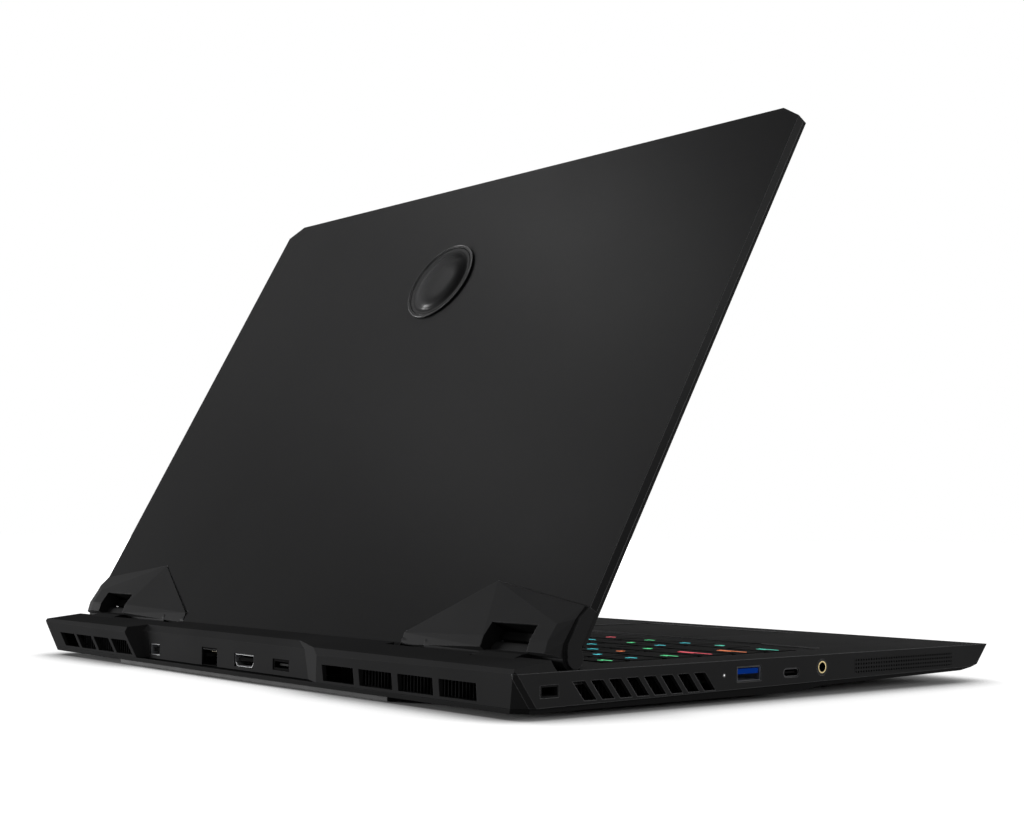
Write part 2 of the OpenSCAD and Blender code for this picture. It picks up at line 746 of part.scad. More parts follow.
module rear_shroud() color([0.10, 0.10, 0.105]) {
    difference() {
        shroud_envelope(0);
        shroud_envelope(wall);
        rear_windows();
        tongue_opening();
        translate([-inner_half_w, lock_y, lock_z]) cube([4 * wall, lock_w, lock_h], center = true);
        // Bevel along the top edge of the port bay.
        intersection() {
            beyond([0, rear_wall_y - bay_bevel, shelf_z(rear_wall_y - bay_bevel)], 90, -45, 0);
            bay(0, bay_bevel);
        }
        // Port openings.
        translate([mini_dp_x, rear_wall_y, mini_dp_z])
            cube([mini_dp_w + 2 * port_fit, 2 * wall + 2, mini_dp_h + 2 * port_fit], center = true);
        translate([hdmi_x, rear_wall_y, hdmi_z])
            cube([hdmi_w + 2 * port_fit, 2 * wall + 2, hdmi_h + 2 * port_fit], center = true);
        translate([inlet_x, rear_wall_y, inlet_z])
            cube([inlet_w + 2 * port_fit, 2 * wall + 2, inlet_h + 2 * port_fit], center = true);
        block(ethernet_x - ethernet_open_w / 2 - ethernet_rim - port_fit,
            ethernet_x + ethernet_open_w / 2 + ethernet_rim + port_fit,
            rear_wall_y - wall - 1, rear_wall_y + 1,
            ethernet_low_z - port_fit, ethernet_low_z + ethernet_open_h + 2 * ethernet_rim + port_fit);
    }
    // Posts under the shelf that the hinge brackets are screwed to.
    both_sides() for (x = hinge_boss_xs) difference() {
        translate([x, hinge_boss_y, hinge_boss_z])
            cylinder(h = shelf_z(hinge_boss_y) - wall / 2 - hinge_boss_z, r = 2.6);
        translate([x, hinge_boss_y, hinge_boss_z - cut]) cylinder(h = 3.5, r = 0.9);
    }
}

/* ---- keyboard ---- */

module each_key(row, picks) {
    for (k = picks) translate([key_x(row, k), key_y(row), 0]) children();
}

module keycaps(row, picks) color([0.05, 0.05, 0.055]) {
    for (k = picks) translate([key_x(row, k), key_y(row), 0]) {
        w = rows[row][k] * key_unit - key_gap;
        d = key_depth(row);
        translate([-w / 2, -d / 2, cap_z]) cube([w, d, cap_h]);
        translate([-post_w / 2, -post_w / 2, plate_z + 0.3]) cube([post_w, post_w, cap_z - plate_z]);
    }
}

module keyboard_plate() color([0.12, 0.12, 0.13]) difference() {
    block(-well_x - 1, well_x + 1, well_front - 4, well_rear + 4, plate_z, plate_z + plate_t);
    for (row = [0 : fn_row]) each_key(row, [0 : len(rows[row]) - 1])
        translate([0, 0, plate_z + plate_t / 2])
            cube([post_w + 2 * post_fit, post_w + 2 * post_fit, plate_t + 2 * cut], center = true);
}

module key_row_function() keycaps(fn_row, [0 : 15]);
module key_row_number() keycaps(number_row, [0, 1, 2, 3, 4, 5, 6, 7, 8, 9, 10, 11, 12, 14]);
module key_row_upper() keycaps(3, [0 : 14]);
module key_row_home() keycaps(2, [0, 1, 2, 3, 4, 5, 6, 7, 8, 9, 10, 11, 13]);
module key_row_lower() keycaps(1, [1, 2, 3, 4, 5, 6, 7, 8, 9, 10, 13]);
module key_row_bottom() keycaps(0, [0, 1, 2, 3, 5, 6, 7]);
module key_backspace() keycaps(number_row, [13]);
module key_enter() keycaps(2, [12]);
module key_shift_left() keycaps(1, [0]);
module key_shift_right() keycaps(1, [11]);
module key_space() keycaps(0, [4]);
module key_arrows() {
    keycaps(0, [8, 9, 10]);
    keycaps(1, [12]);
}

module power_button() color([0.06, 0.06, 0.065]) {
    translate([power_x - power_w / 2, rear_y - power_from_rear - power_d / 2, deck_z - 1.2])
        cube([power_w, power_d, 1.2 + 0.1]);
    // Flange that keeps the button under the deck.
    block(power_x - power_w / 2 - 1, power_x + power_w / 2 + 1,
        rear_y - power_from_rear - power_d / 2 + 1, rear_y - power_from_rear + power_d / 2 - 1,
        deck_under - 0.9, deck_under - 0.1);
    block(power_x - power_w / 2 + 2, power_x + power_w / 2 - 2,
        rear_y - power_from_rear - power_d / 2 + 1.2, rear_y - power_from_rear + power_d / 2 - 1.2,
        deck_under - 0.5, deck_z - 0.5);
}

module touchpad() color([0.08, 0.08, 0.085])
    block(pad_x - pad_w / 2, pad_x + pad_w / 2, pad_y, pad_y + pad_d, pad_top - pad_t, pad_top);

/* ---- ports ---- */

// A rectangular metal shell, open towards +X, its mouth at x = 0.
module square_shell(w, h, depth, t) {
    difference() {
        translate([-depth, -w / 2, -h / 2]) cube([depth, w, h]);
        translate([-depth + t, -w / 2 + t, -h / 2 + t]) cube([depth, w - 2 * t, h - 2 * t]);
    }
}

port_in = 0.3;

module usb_a_shells() color([0.75, 0.76, 0.78])
    for (i = [0 : 2]) translate([usb_a_sides[i] * (half_w - port_in), usb_a_ys[i], usb_a_z])
        rotate([0, 0, usb_a_sides[i] > 0 ? 0 : 180]) square_shell(usb_a_w, usb_a_h, port_depth, shell_t);

module usb_a_tongues() color([0.05, 0.15, 0.6])
    for (i = [0 : 2]) translate([usb_a_sides[i] * (half_w - port_in), usb_a_ys[i], usb_a_z])
        rotate([0, 0, usb_a_sides[i] > 0 ? 0 : 180])
            block(-port_depth + shell_t, -0.6, -usb_a_w / 2 + 0.8, usb_a_w / 2 - 0.8, 0, 1.9);

module usb_c_shell() color([0.6, 0.61, 0.63])
    translate([-half_w + port_in + port_depth * 0.3, usb_c_y, usb_c_z]) rotate([90, 0, 90]) difference() {
        pill(usb_c_w, usb_c_h, port_depth * 0.6);
        translate([0, 0, -shell_t]) pill(usb_c_w - 2 * shell_t, usb_c_h - 2 * shell_t, port_depth * 0.6);
    }

module hdmi_shell() color([0.78, 0.79, 0.8])
    translate([hdmi_x, rear_wall_y - port_in, hdmi_z]) rotate([90, 0, 0]) linear_extrude(port_depth)
        difference() {
            hdmi_outline(0);
            hdmi_outline(shell_t);
        }

// The outline of the HDMI port: a rectangle with its lower corners cut.
module hdmi_outline(inset) {
    w = hdmi_w / 2 - inset;
    h = hdmi_h / 2 - inset;
    polygon([[-w, h], [w, h], [w, -h * 0.2], [w * 0.78, -h], [-w * 0.78, -h], [-w, -h * 0.2]]);
}

module mini_dp_shell() color([0.78, 0.79, 0.8])
    translate([mini_dp_x, rear_wall_y - port_in, mini_dp_z]) rotate([0, 0, 90])
        square_shell(mini_dp_w, mini_dp_h, port_depth, shell_t);

module port_tongues() color([0.04, 0.04, 0.04]) {
    translate([-half_w + port_in + 1, usb_c_y, usb_c_z])
        block(0, port_depth * 0.6 - shell_t - 1, -usb_c_w / 2 + 1.1, usb_c_w / 2 - 1.1, -0.35, 0.35);
    translate([hdmi_x, rear_wall_y - port_in - port_depth, hdmi_z]) {
        block(-hdmi_w / 2 + 1.6, hdmi_w / 2 - 1.6, 0, port_depth - 1, -0.2, 1.2);
        translate([0, 1.5, 0]) rotate([90, 0, 0]) linear_extrude(1.5) hdmi_outline(shell_t + 0.05);
    }
    translate([mini_dp_x, rear_wall_y - port_in - port_depth + shell_t, mini_dp_z])
        block(-mini_dp_w / 2 + 1.2, mini_dp_w / 2 - 1.2, 0, port_depth - 1 - shell_t, -0.6, 0.6);
}

module audio_jack_ring() color([0.85, 0.65, 0.25])
    translate([-half_w, jack_y, jack_z]) rotate([0, 90, 0]) difference() {
        cylinder(h = wall, r = jack_ring_r);
        translate([0, 0, -cut]) cylinder(h = wall + 2 * cut, r = jack_r);
    }

jack_body_h = 2 * jack_ring_r;
module audio_jack_body() color([0.05, 0.05, 0.05])
    difference() {
        translate([-inner_half_w + shell_gap, jack_y - jack_ring_r, jack_z - jack_ring_r])
            cube([port_depth, jack_body_h, jack_body_h]);
        translate([-half_w, jack_y, jack_z]) rotate([0, 90, 0]) cylinder(h = port_depth, r = jack_r);
    }

module ethernet_socket() color([0.13, 0.13, 0.14]) {
    y1 = rear_wall_y - port_in;
    y0 = y1 - port_depth;
    difference() {
        block(ethernet_x - ethernet_open_w / 2 - ethernet_rim, ethernet_x + ethernet_open_w / 2 + ethernet_rim,
            y0, y1, ethernet_low_z, ethernet_low_z + ethernet_open_h + 2 * ethernet_rim);
        block(ethernet_x - ethernet_open_w / 2, ethernet_x + ethernet_open_w / 2,
            y0 + 1, y1 + cut, ethernet_low_z + ethernet_rim, ethernet_low_z + ethernet_rim + ethernet_open_h);
    }
}

module power_inlet() color([0.05, 0.05, 0.05])
    translate([inlet_x, rear_wall_y - port_in, inlet_z]) rotate([0, 0, 90])
        square_shell(inlet_w, inlet_h, port_depth, 0.9);

module power_inlet_blade() color([0.8, 0.65, 0.25])
    translate([inlet_x, rear_wall_y - port_in, inlet_z])
        block(-3.6, 3.6, -port_depth + 0.9, -1.4, -0.4, 0.4);

lock_rim = 0.6;
module lock_slot_plate() color([0.25, 0.25, 0.26])
    translate([-half_w + wall / 2, lock_y, lock_z]) difference() {
        cube([wall, lock_w + 2 * lock_rim - 0.2, lock_h + 2 * lock_rim - 0.2], center = true);
        cube([wall + 2, lock_w, lock_h], center = true);
    }

module light_pipes() color([0.9, 0.95, 1])
    translate([-half_w, light_y, light_z]) rotate([0, 90, 0]) cylinder(h = 5, r = light_r);

/* ---- electronics ---- */

main_half_w = 76;
main_front_y = rear_y - 143;
main_rear_y = rear_y - 31;
tail_left = -46;
tail_right = 82.3;
tail_rear_y = rear_wall_y - wall - 1.4;
board_z = board_top_z - board_t;

module main_board() color([0.05, 0.18, 0.09]) difference() {
    union() {
        block(-main_half_w, main_half_w, main_front_y, main_rear_y, board_z, board_top_z);
        block(tail_left, tail_right, main_rear_y - 20, tail_rear_y, board_z, board_top_z);
    }
    // Cut-out for the ethernet socket, which sits half way into the board.
    block(ethernet_x - ethernet_w / 2 - 0.6, ethernet_x + ethernet_w / 2 + 0.6,
        rear_wall_y - port_depth - 1, rear_wall_y, 0, far);
    // Clear of the posts and screws.
    each_screw() cylinder(h = 12, r = screw_boss_r + 0.8);
}

module port_boards() color([0.05, 0.18, 0.09]) both_sides()
    block(half_w - 30, inner_half_w - 0.6, jack_y - 12, usb_a_ys[0] + 15, port_board_z - board_t, port_board_z);

module memory_modules() color([0.06, 0.2, 0.1]) for (i = [0, 1])
    block(-34, 34, main_front_y + 3 + i * 33, main_front_y + 33 + i * 33, board_top_z + 0.3, board_top_z + 4);

module storage_drive() color([0.1, 0.12, 0.2])
    block(52, 74, main_front_y + 3, main_front_y + 83, board_top_z + 0.3, board_top_z + 2.6);

chip_x = 31;
chip_y = rear_y - 51;
chip_t = 1;
module processor_chips() color([0.45, 0.46, 0.48]) both_sides()
    block(chip_x - 12, chip_x + 12, chip_y - 12, chip_y + 12, board_top_z, board_top_z + chip_t);

battery_front_y = front_screw_y + screw_boss_r + 1.2;
module battery() color([0.06, 0.06, 0.07]) {
    z = chin_slope_z(battery_front_y) + floor_t + 0.2;
    block(-battery_w / 2, battery_w / 2, battery_front_y, battery_front_y + battery_d, z, z + battery_t);
}

module speakers() color([0.07, 0.07, 0.07]) both_sides() {
    z = chin_slope_z(inner_front_y) + floor_t + 0.2;
    difference() {
        block(inner_half_w - 34, inner_half_w - 0.4, grille_front_y, grille_front_y + grille_len, z, z + 5.4);
        translate([inner_half_w - 17, grille_front_y + grille_len / 2, z + 4.6]) cylinder(h = 3, r = 12);
    }
}

module speaker_grilles() color([0.12, 0.12, 0.125]) both_sides() difference() {
    block(half_w - grille_t, half_w, grille_front_y + 0.1, grille_front_y + grille_len - 0.1,
        grille_low_z + 0.1, grille_low_z + grille_h - 0.1);
    for (i = [0 : grille_columns - 1], k = [0 : grille_rows - 1])
        translate([half_w - grille_t - cut, grille_front_y + 4 + i * (grille_len - 8) / grille_columns + 0.4,
            grille_low_z + 1.3 + k * (grille_h - 2.6) / grille_rows + 0.2])
            cube([grille_t + 2 * cut, (grille_len - 8) / grille_columns - 0.8, (grille_h - 2.6) / grille_rows - 0.4]);
}

fan_y = rear_y - fan_from_rear;
fan_low = underside_z + floor_t + 0.5;
fan_h = trough_z - trough_t - fan_low - 0.8;
fan_wall = 0.8;
rotor_low = fan_low + fan_wall + 0.3;
rotor_high = fan_low + fan_h - fan_wall - 0.3;
hub_cap = 0.8;
shaft_r = 1.2;
shaft_fit = 0.05;
blade_sweep = 24;
housing_r = fan_r + fan_gap + fan_wall;

// A blower housing with its round intakes, and its mouths towards the rear and the side.
module fan_housing() {
    mouth_y = rear_fin_y0 - 0.3;
    difference() {
        union() {
            translate([fan_x, fan_y, fan_low]) cylinder(h = fan_h, r = housing_r);
            block(fan_x - housing_r + 4, fan_x + housing_r, fan_y, mouth_y, fan_low, fan_low + fan_h);
            block(fan_x, side_fin_x0 - 0.3, fan_y - 14, mouth_y - 3, fan_low, fan_low + fan_h);
        }
        translate([fan_x, fan_y, fan_low + fan_wall]) cylinder(h = fan_h - 2 * fan_wall, r = fan_r + fan_gap);
        block(fan_x - housing_r + 5, fan_x + housing_r - 1, fan_y + 2, mouth_y + cut,
            fan_low + fan_wall, fan_low + fan_h - fan_wall);
        block(fan_x, side_fin_x0, fan_y - 13, mouth_y - 4, fan_low + fan_wall, fan_low + fan_h - fan_wall);
        // Round intakes above and below, around the motor's seat.
        translate([fan_x, fan_y, fan_low + fan_h - 2 * fan_wall]) cylinder(h = 3, r = fan_r - 9);
        difference() {
            translate([fan_x, fan_y, fan_low - cut]) cylinder(h = 2, r = fan_r - 9);
            translate([fan_x, fan_y, fan_low - 1]) cylinder(h = 3, r = hub_r - 2);
            for (a = [0, 120, 240]) translate([fan_x, fan_y, fan_low - 1]) rotate([0, 0, a])
                translate([0, -1.2, 0]) cube([fan_r, 2.4, 3]);
        }
    }
    // Shaft that the rotor turns on.
    translate([fan_x, fan_y, fan_low + fan_wall / 2])
        cylinder(h = rotor_high - hub_cap - 0.2 - fan_low - fan_wall / 2, r = shaft_r);
}

module fan_housings() color([0.08, 0.08, 0.085]) both_sides() fan_housing();

module rotor(x, turn) color([0.04, 0.04, 0.045]) translate([x, fan_y, rotor_low]) difference() {
    union() {
        cylinder(h = rotor_high - rotor_low, r = hub_r);
        for (i = [0 : fan_blades - 1]) rotate([0, 0, i * 360 / fan_blades])
            translate([hub_r - 1, 0, 0.6]) rotate([0, 0, turn * blade_sweep])
                translate([0, -0.3, 0]) cube([fan_r - hub_r, 0.6, rotor_high - rotor_low - 1.2]);
    }
    translate([0, 0, -cut]) cylinder(h = rotor_high - rotor_low - hub_cap + cut, r = shaft_r + shaft_fit);
}

module fan_rotor_left() rotor(-fan_x, -1);
module fan_rotor_right() rotor(fan_x, 1);

// Comb outline of a fin stack: a base strip with upright fins, drawn in X and Z.
function comb(x0, x1, z0, z1) = concat(
    [[x0, z0], [x1, z0]],
    [for (i = [floor((x1 - x0 - fin_t) / fin_pitch) : -1 : 0]) for (p = [
        [x0 + i * fin_pitch + fin_t, z0 + fin_t], [x0 + i * fin_pitch + fin_t, z1],
        [x0 + i * fin_pitch, z1], [x0 + i * fin_pitch, z0 + fin_t]]) p]
);

// Heat pipes: height of their axes, and their run along the rear and the sides.
cold_plate_t = 1;
pipe_z = board_top_z + chip_t + cold_plate_t + pipe_r - 0.05;
pipe_y = rear_y - 23;
pipe_x = inner_half_w - 6.5;
fin_low = fan_low;
fin_high = trough_z - trough_t - 0.3;
rear_fin_y0 = pipe_y - pipe_r - 0.6;
rear_fin_y1 = rear_y - 9.5;
side_fin_x0 = inner_half_w - 12;
side_fin_x1 = inner_half_w - 1;
side_fin_len = (side_vents - 1) * side_vent_pitch + side_vent_w;

// Channel in the top of the fins, in which the pipes lie.
module pipe_channel() both_sides() {
    r = pipe_r + 0.05;
    translate([0, pipe_y, pipe_z]) bar_x(0, pipe_x, r);
    block(0, pipe_x, pipe_y - r, pipe_y + r, pipe_z, far);
    translate([pipe_x, side_fin_end, pipe_z]) rotate([-90, 0, 0]) cylinder(h = far, r = r);
    block(pipe_x - r, pipe_x + r, side_fin_end, far, pipe_z, far);
}

module rear_heatsinks() color([0.55, 0.56, 0.58]) difference() {
    along_y(rear_fin_y0, rear_fin_y1) {
        polygon(comb(-left_vent_start - rear_vents * left_vent_pitch + 2, -left_vent_start + 1, fin_low, fin_high));
        polygon(comb(right_vent_end - rear_vents * right_vent_pitch - 2, right_vent_end - 1, fin_low, fin_high));
    }
    pipe_channel();
}

side_fin_start = pipe_y - pipe_r - 2;
side_fin_end = side_fin_start - side_fin_len;
module side_heatsinks() color([0.55, 0.56, 0.58]) difference() {
    both_sides() translate([0, side_fin_start, 0]) rotate([0, 0, -90])
        along_y(side_fin_x0, side_fin_x1) polygon(comb(0, side_fin_len, fin_low, fin_high));
    pipe_channel();
}

module heat_pipes() color([0.62, 0.36, 0.2]) both_sides() {
    // Cold plates on the two chips.
    block(chip_x - 17, chip_x + 17, chip_y - 17, chip_y + 17,
        board_top_z + chip_t, board_top_z + chip_t + cold_plate_t);
    // Pipes between the plates, and from each plate to its fin stacks.
    for (y = [chip_y + 6, chip_y + 13]) translate([0, y, pipe_z]) bar_x(-1, fan_x - housing_r - 2, pipe_r);
    translate([chip_x + 12, chip_y - 10, pipe_z]) rotate([-90, 0, 0])
        cylinder(h = pipe_y - chip_y + 10, r = pipe_r);
    translate([chip_x + 12, pipe_y, pipe_z]) sphere(pipe_r);
    translate([0, pipe_y, pipe_z]) bar_x(chip_x + 12, pipe_x, pipe_r);
    translate([pipe_x, pipe_y, pipe_z]) sphere(pipe_r);
    translate([pipe_x, side_fin_end + 1, pipe_z]) rotate([-90, 0, 0])
        cylinder(h = pipe_y - side_fin_end - 1, r = pipe_r);
}

/* ---- hinges ---- */

tongue_in = tongue_mid - tongue_w / 2;
tongue_out = tongue_mid + tongue_w / 2;
slot_in = tongue_in - tongue_gap;
slot_out = tongue_out + tongue_gap;
ear_w = 4;
ear_fit = 0.1;

// Bracket that stands on the base: its tongue carries the barrel around the hinge axis.
module hinge_brackets() color([0.13, 0.13, 0.135]) both_sides() difference() {
    union() {
        translate([0, pivot_y, pivot_z]) bar_x(tongue_in, tongue_out, barrel_r);
        along_x(tongue_in, tongue_out) polygon([
            [pivot_y, pivot_z + tongue_up],
            [pivot_y, pivot_z - barrel_r + 0.2],
            [pivot_y + 8.6, pivot_z - barrel_r + 0.2],
            [pivot_y + 8.6, hinge_boss_z - 1.6],
            [hinge_boss_y + 4, hinge_boss_z - 1.6],
            [hinge_boss_y + 4, hinge_boss_z],
            [pivot_y + 11.6, hinge_boss_z],
            [pivot_y + 11.6, shelf_z(pivot_y + 11.6) - wall - 0.3],
            [pivot_y + 12.9, shelf_z(pivot_y + 12.9) - wall - 0.3],
            [pivot_y + 12.9, shelf_z(pivot_y + 12.9) - 0.2],
            [pivot_y + 8, pivot_z + tongue_up * 0.6]
        ]);
    }
    translate([0, pivot_y, pivot_z]) bar_x(tongue_in - cut, tongue_out + cut, pin_r + pin_fit);
    for (x = hinge_boss_xs) translate([x, hinge_boss_y, 0]) cylinder(h = far, r = 1.1);
}

// Places its children, drawn as in the closed lid around the hinge axis, at the open lid.
module lid_pose() translate([0, pivot_y, pivot_z]) rotate([-lid_open, 0, 0]) children();

lid_inner = lid_face_up - lid_t;
bezel_back = lid_inner + bezel_t;
skin_under = lid_face_up - lid_skin;
lid_half_w = half_w - lid_side_gap;
lid_len = pivot_y - front_y - lid_front_gap;
leaf_z = bezel_back + 0.2;
leaf_t = 1.5;
leaf_up = 17.5;

module hinge_leaves() color([0.5, 0.51, 0.53]) both_sides() lid_pose() difference() {
    union() {
        for (x = [slot_in - ear_w - ear_fit, slot_out + ear_fit]) {
            bar_x(x, x + ear_w, barrel_r - 0.6);
            block(x, x + ear_w, -slot_up - 3, 0, leaf_z, leaf_z + leaf_t);
        }
        block(slot_in - ear_w - ear_fit, slot_out + ear_w + ear_fit, -leaf_up, -slot_up - 0.8,
            leaf_z, leaf_z + leaf_t);
    }
    bar_x(slot_in - ear_w - cut, slot_out + ear_w + cut, pin_r);
}

module hinge_pins() color([0.7, 0.7, 0.72]) both_sides() lid_pose()
    bar_x(slot_in - ear_w - 0.6, slot_out + ear_w + 0.6, pin_r);

module hinge_washers() color([0.66, 0.62, 0.5]) both_sides() lid_pose()
    for (x = [slot_in + 0.05, slot_out - washer_t - 0.05]) difference() {
        bar_x(x, x + washer_t, barrel_r - 0.8);
        bar_x(x - cut, x + washer_t + cut, pin_r + 0.02);
    }

/* ---- lid ---- */

cover_tip_up = 2.4;
cover_gap = 0.15;

// Outline of the lid, moved in by inset, with room for the hinge covers at its foot.
module lid_outline(inset) {
    w = lid_half_w - inset;
    top = -lid_len + inset;
    tail = lid_tail - inset;
    neck = thin_r + cover_gap + inset;
    peak = cover_peak_up + cover_gap + inset;
    half = [
        [cover_in - cover_gap - inset, tail],
        [cover_in - cover_gap - inset, -neck],
        [cover_in + (cover_peak_x - cover_in) * (neck - cover_tip_up) / (peak - cover_tip_up), -neck],
        [cover_peak_x, -peak],
        [w, -cover_end_up - cover_gap - inset],
        [w, top + lid_cut_y],
        [w - lid_cut_x, top]
    ];
    polygon(concat(half, [for (i = [len(half) - 1 : -1 : 0]) [-half[i][0], half[i][1]]]));
}

module lid_cover() color([0.1, 0.1, 0.105]) lid_pose() difference() {
    translate([0, 0, bezel_back]) linear_extrude(lid_face_up - bezel_back) lid_outline(0);
    translate([0, 0, bezel_back - cut]) linear_extrude(skin_under - bezel_back + cut) lid_outline(lid_rim);
}

screen_top = lid_len - bezel_top;
bezel_foot = knuckle_r + 0.4;

module screen_bezel() color([0.05, 0.05, 0.055]) lid_pose() difference() {
    translate([0, 0, lid_inner]) linear_extrude(bezel_t) polygon([
        [-lid_half_w, -bezel_foot], [-cover_in + cover_gap, -bezel_foot],
        [-cover_in + cover_gap, lid_tail - 0.4], [cover_in - cover_gap, lid_tail - 0.4],
        [cover_in - cover_gap, -bezel_foot], [lid_half_w, -bezel_foot],
        [lid_half_w, -lid_len + lid_cut_y], [lid_half_w - lid_cut_x, -lid_len],
        [-lid_half_w + lid_cut_x, -lid_len], [-lid_half_w, -lid_len + lid_cut_y]
    ]);
    block(-screen_w / 2, screen_w / 2, -screen_top, -screen_top + screen_h, lid_inner - cut, bezel_back + cut);
    translate([0, -lid_len + bezel_top / 2, lid_inner - cut]) cylinder(h = bezel_t + 2 * cut, r = lens_r + 0.1);
}

panel_edge = 1.6;
module screen_panel() color([0.02, 0.02, 0.025]) lid_pose()
    block(-screen_w / 2 - panel_edge, screen_w / 2 + panel_edge, -screen_top - panel_edge,
        -screen_top + screen_h + panel_edge + 2, bezel_back, skin_under - 0.1);

module screen_cable() color([0.2, 0.16, 0.1]) lid_pose() {
    foot = -screen_top + screen_h + panel_edge + 2;
    block(-62, -34, foot + 0.2, foot + 6, bezel_back + 0.3, bezel_back + 0.8);
    block(-40, -34, foot + 5, -1, bezel_back + 0.3, bezel_back + 0.8);
}

lens_r = 2.2;
module camera_lens() color([0.02, 0.03, 0.06]) lid_pose() {
    translate([0, -lid_len + bezel_top / 2, lid_inner + 0.2]) cylinder(h = bezel_t - 0.2, r = lens_r);
    translate([0, -lid_len + bezel_top / 2, bezel_back])
        block(-8, 8, -lens_r, lens_r, 0, skin_under - bezel_back - 0.3);
}

badge_seat = 0.35;
module badge() color([0.05, 0.05, 0.055]) lid_pose()
    translate([badge_x, -badge_up, lid_face_up]) difference() {
        cylinder(h = badge_t, r = badge_d / 2);
        translate([0, 0, badge_t - badge_seat]) cylinder(h = badge_seat + cut, r = badge_d / 2 - 1.6);
    }

bumper_t = 1.9;
module lid_bumpers() color([0.03, 0.03, 0.03]) lid_pose() {
    for (x = [-120, -40, 40, 120])
        block(x - 9, x + 9, -lid_len + 2.5, -lid_len + 4.5, lid_inner - bumper_t, lid_inner);
    for (s = [-1, 1]) block(s * (lid_half_w - 3.5) - 1, s * (lid_half_w - 3.5) + 1,
        -lid_len * 0.55 - 9, -lid_len * 0.55 + 9, lid_inner - bumper_t, lid_inner);
}

tip_x = lid_half_w - 0.1;
side_x = inner_half_w - 0.3;
ridge_h = lid_face_up + ridge_up;
// Distance from the hinge axis to the cover's edge where it meets the side wall.
side_up = cover_end_up + (cover_peak_up - cover_end_up) * (tip_x - side_x) / (tip_x - cover_peak_x);

// A thin slice of the hinge cover at x, given as distances up from the axis and heights.
module cover_slice(x, points) along_x(x, x + 0.1) polygon([for (p = points) [-p[0], p[1]]]);

// Cover over a hinge, on the right: a faceted wedge with a slot for the tongue.
module hinge_cover() lid_pose() difference() {
    union() {
        hull() {
            cover_slice(cover_in, [[cover_tip_up, bezel_back], [cover_tip_up, lid_face_up + 0.6],
                [-2.2, lid_face_up - 0.4], [-1.2, bezel_back]]);
            cover_slice(cover_peak_x, [[cover_peak_up, bezel_back], [cover_peak_up, lid_face_up + 0.3],
                [cover_peak_up - 1, bezel_back]]);
            cover_slice(ridge_in, [[8.2, ridge_h - 1.3], [2.1, ridge_h], [-2.1, ridge_h - 0.5]]);
            cover_slice(ridge_out, [[9, ridge_h - 0.8], [2.1, ridge_h], [-2.3, ridge_h - 0.8]]);
            cover_slice(side_x - 0.1, [[side_up, bezel_back], [side_up, lid_face_up + 0.9], [12.3, ridge_h - 2.3],
                [7.3, ridge_h - 2],
                [2.3, ridge_h - 1.4], [-2.4, ridge_h - 2.5], [-2.4, lid_face_up - 0.6], [-1.2, bezel_back]]);
        }
        // The end over the side wall, which turns clear of the deck.
        along_x(side_x - 0.1, tip_x) polygon([[-cover_end_up, bezel_back], [-cover_end_up, lid_face_up + 0.3],
            [-12.8, ridge_h - 2.9], [-2.6, ridge_h - 2.4], [-0.5, ridge_h - 3.2], [2, lid_face_up - 0.1],
            [1.2, bezel_back]]);
        bar_x(cover_in, cover_in + thin_len, thin_r);
        bar_x(cover_in + thin_len - 0.1, side_x, knuckle_r);
        bar_x(side_x - 0.1, tip_x, tip_r);
    }
    // Slot for the tongue.
    block(slot_in, slot_out, -slot_up, far / 10, -far / 10, far / 10);
    // Pocket for the steel leaf and its ears.
    pocket_in = slot_in - ear_w - ear_fit - 0.7;
    pocket_out = slot_out + ear_w + ear_fit + 0.7;
    bar_x(pocket_in, pocket_out, barrel_r - 0.5);
    block(pocket_in, pocket_out, -leaf_up - 0.2, 0, bezel_back - cut, leaf_z + leaf_t + 0.1);
}

module hinge_cover_left() color([0.12, 0.12, 0.125]) mirror([1, 0, 0]) hinge_cover();
module hinge_cover_right() color([0.12, 0.12, 0.125]) hinge_cover();

bottom_cover();
rubber_feet();
bottom_screws();
top_case();
rear_shroud();
keyboard_plate();
key_row_function();
key_row_number();
key_row_upper();
key_row_home();
key_row_lower();
key_row_bottom();
key_backspace();
key_enter();
key_shift_left();
key_shift_right();
key_space();
key_arrows();
power_button();
touchpad();
usb_a_shells();
usb_a_tongues();
usb_c_shell();
hdmi_shell();
mini_dp_shell();
port_tongues();
audio_jack_ring();
audio_jack_body();
ethernet_socket();
power_inlet();
power_inlet_blade();
lock_slot_plate();
light_pipes();
main_board();
port_boards();
memory_modules();
storage_drive();
processor_chips();
battery();
speakers();
speaker_grilles();
fan_housings();
fan_rotor_left();
fan_rotor_right();
heat_pipes();
rear_heatsinks();
side_heatsinks();
hinge_brackets();
hinge_leaves();
hinge_pins();
hinge_washers();
lid_cover();
screen_bezel();
screen_panel();
screen_cable();
camera_lens();
hinge_cover_left();
hinge_cover_right();
badge();
lid_bumpers();
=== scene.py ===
# %% [markdown]
# # A laptop computer, dressed
#
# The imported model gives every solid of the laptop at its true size, so this script adds only
# what a buyer's eye sees: finishes, lit key marks, fine pressed and cut details, light, floor
# and camera. The solids could be modelled again in Blender, but then two shapes would have to be
# kept alike. Loading them as a fixed frame is simpler, and the added pieces are placed on it in
# the same metres.

# %% Load the frame
import math

import bmesh
import bpy
from mathutils import Matrix, Vector


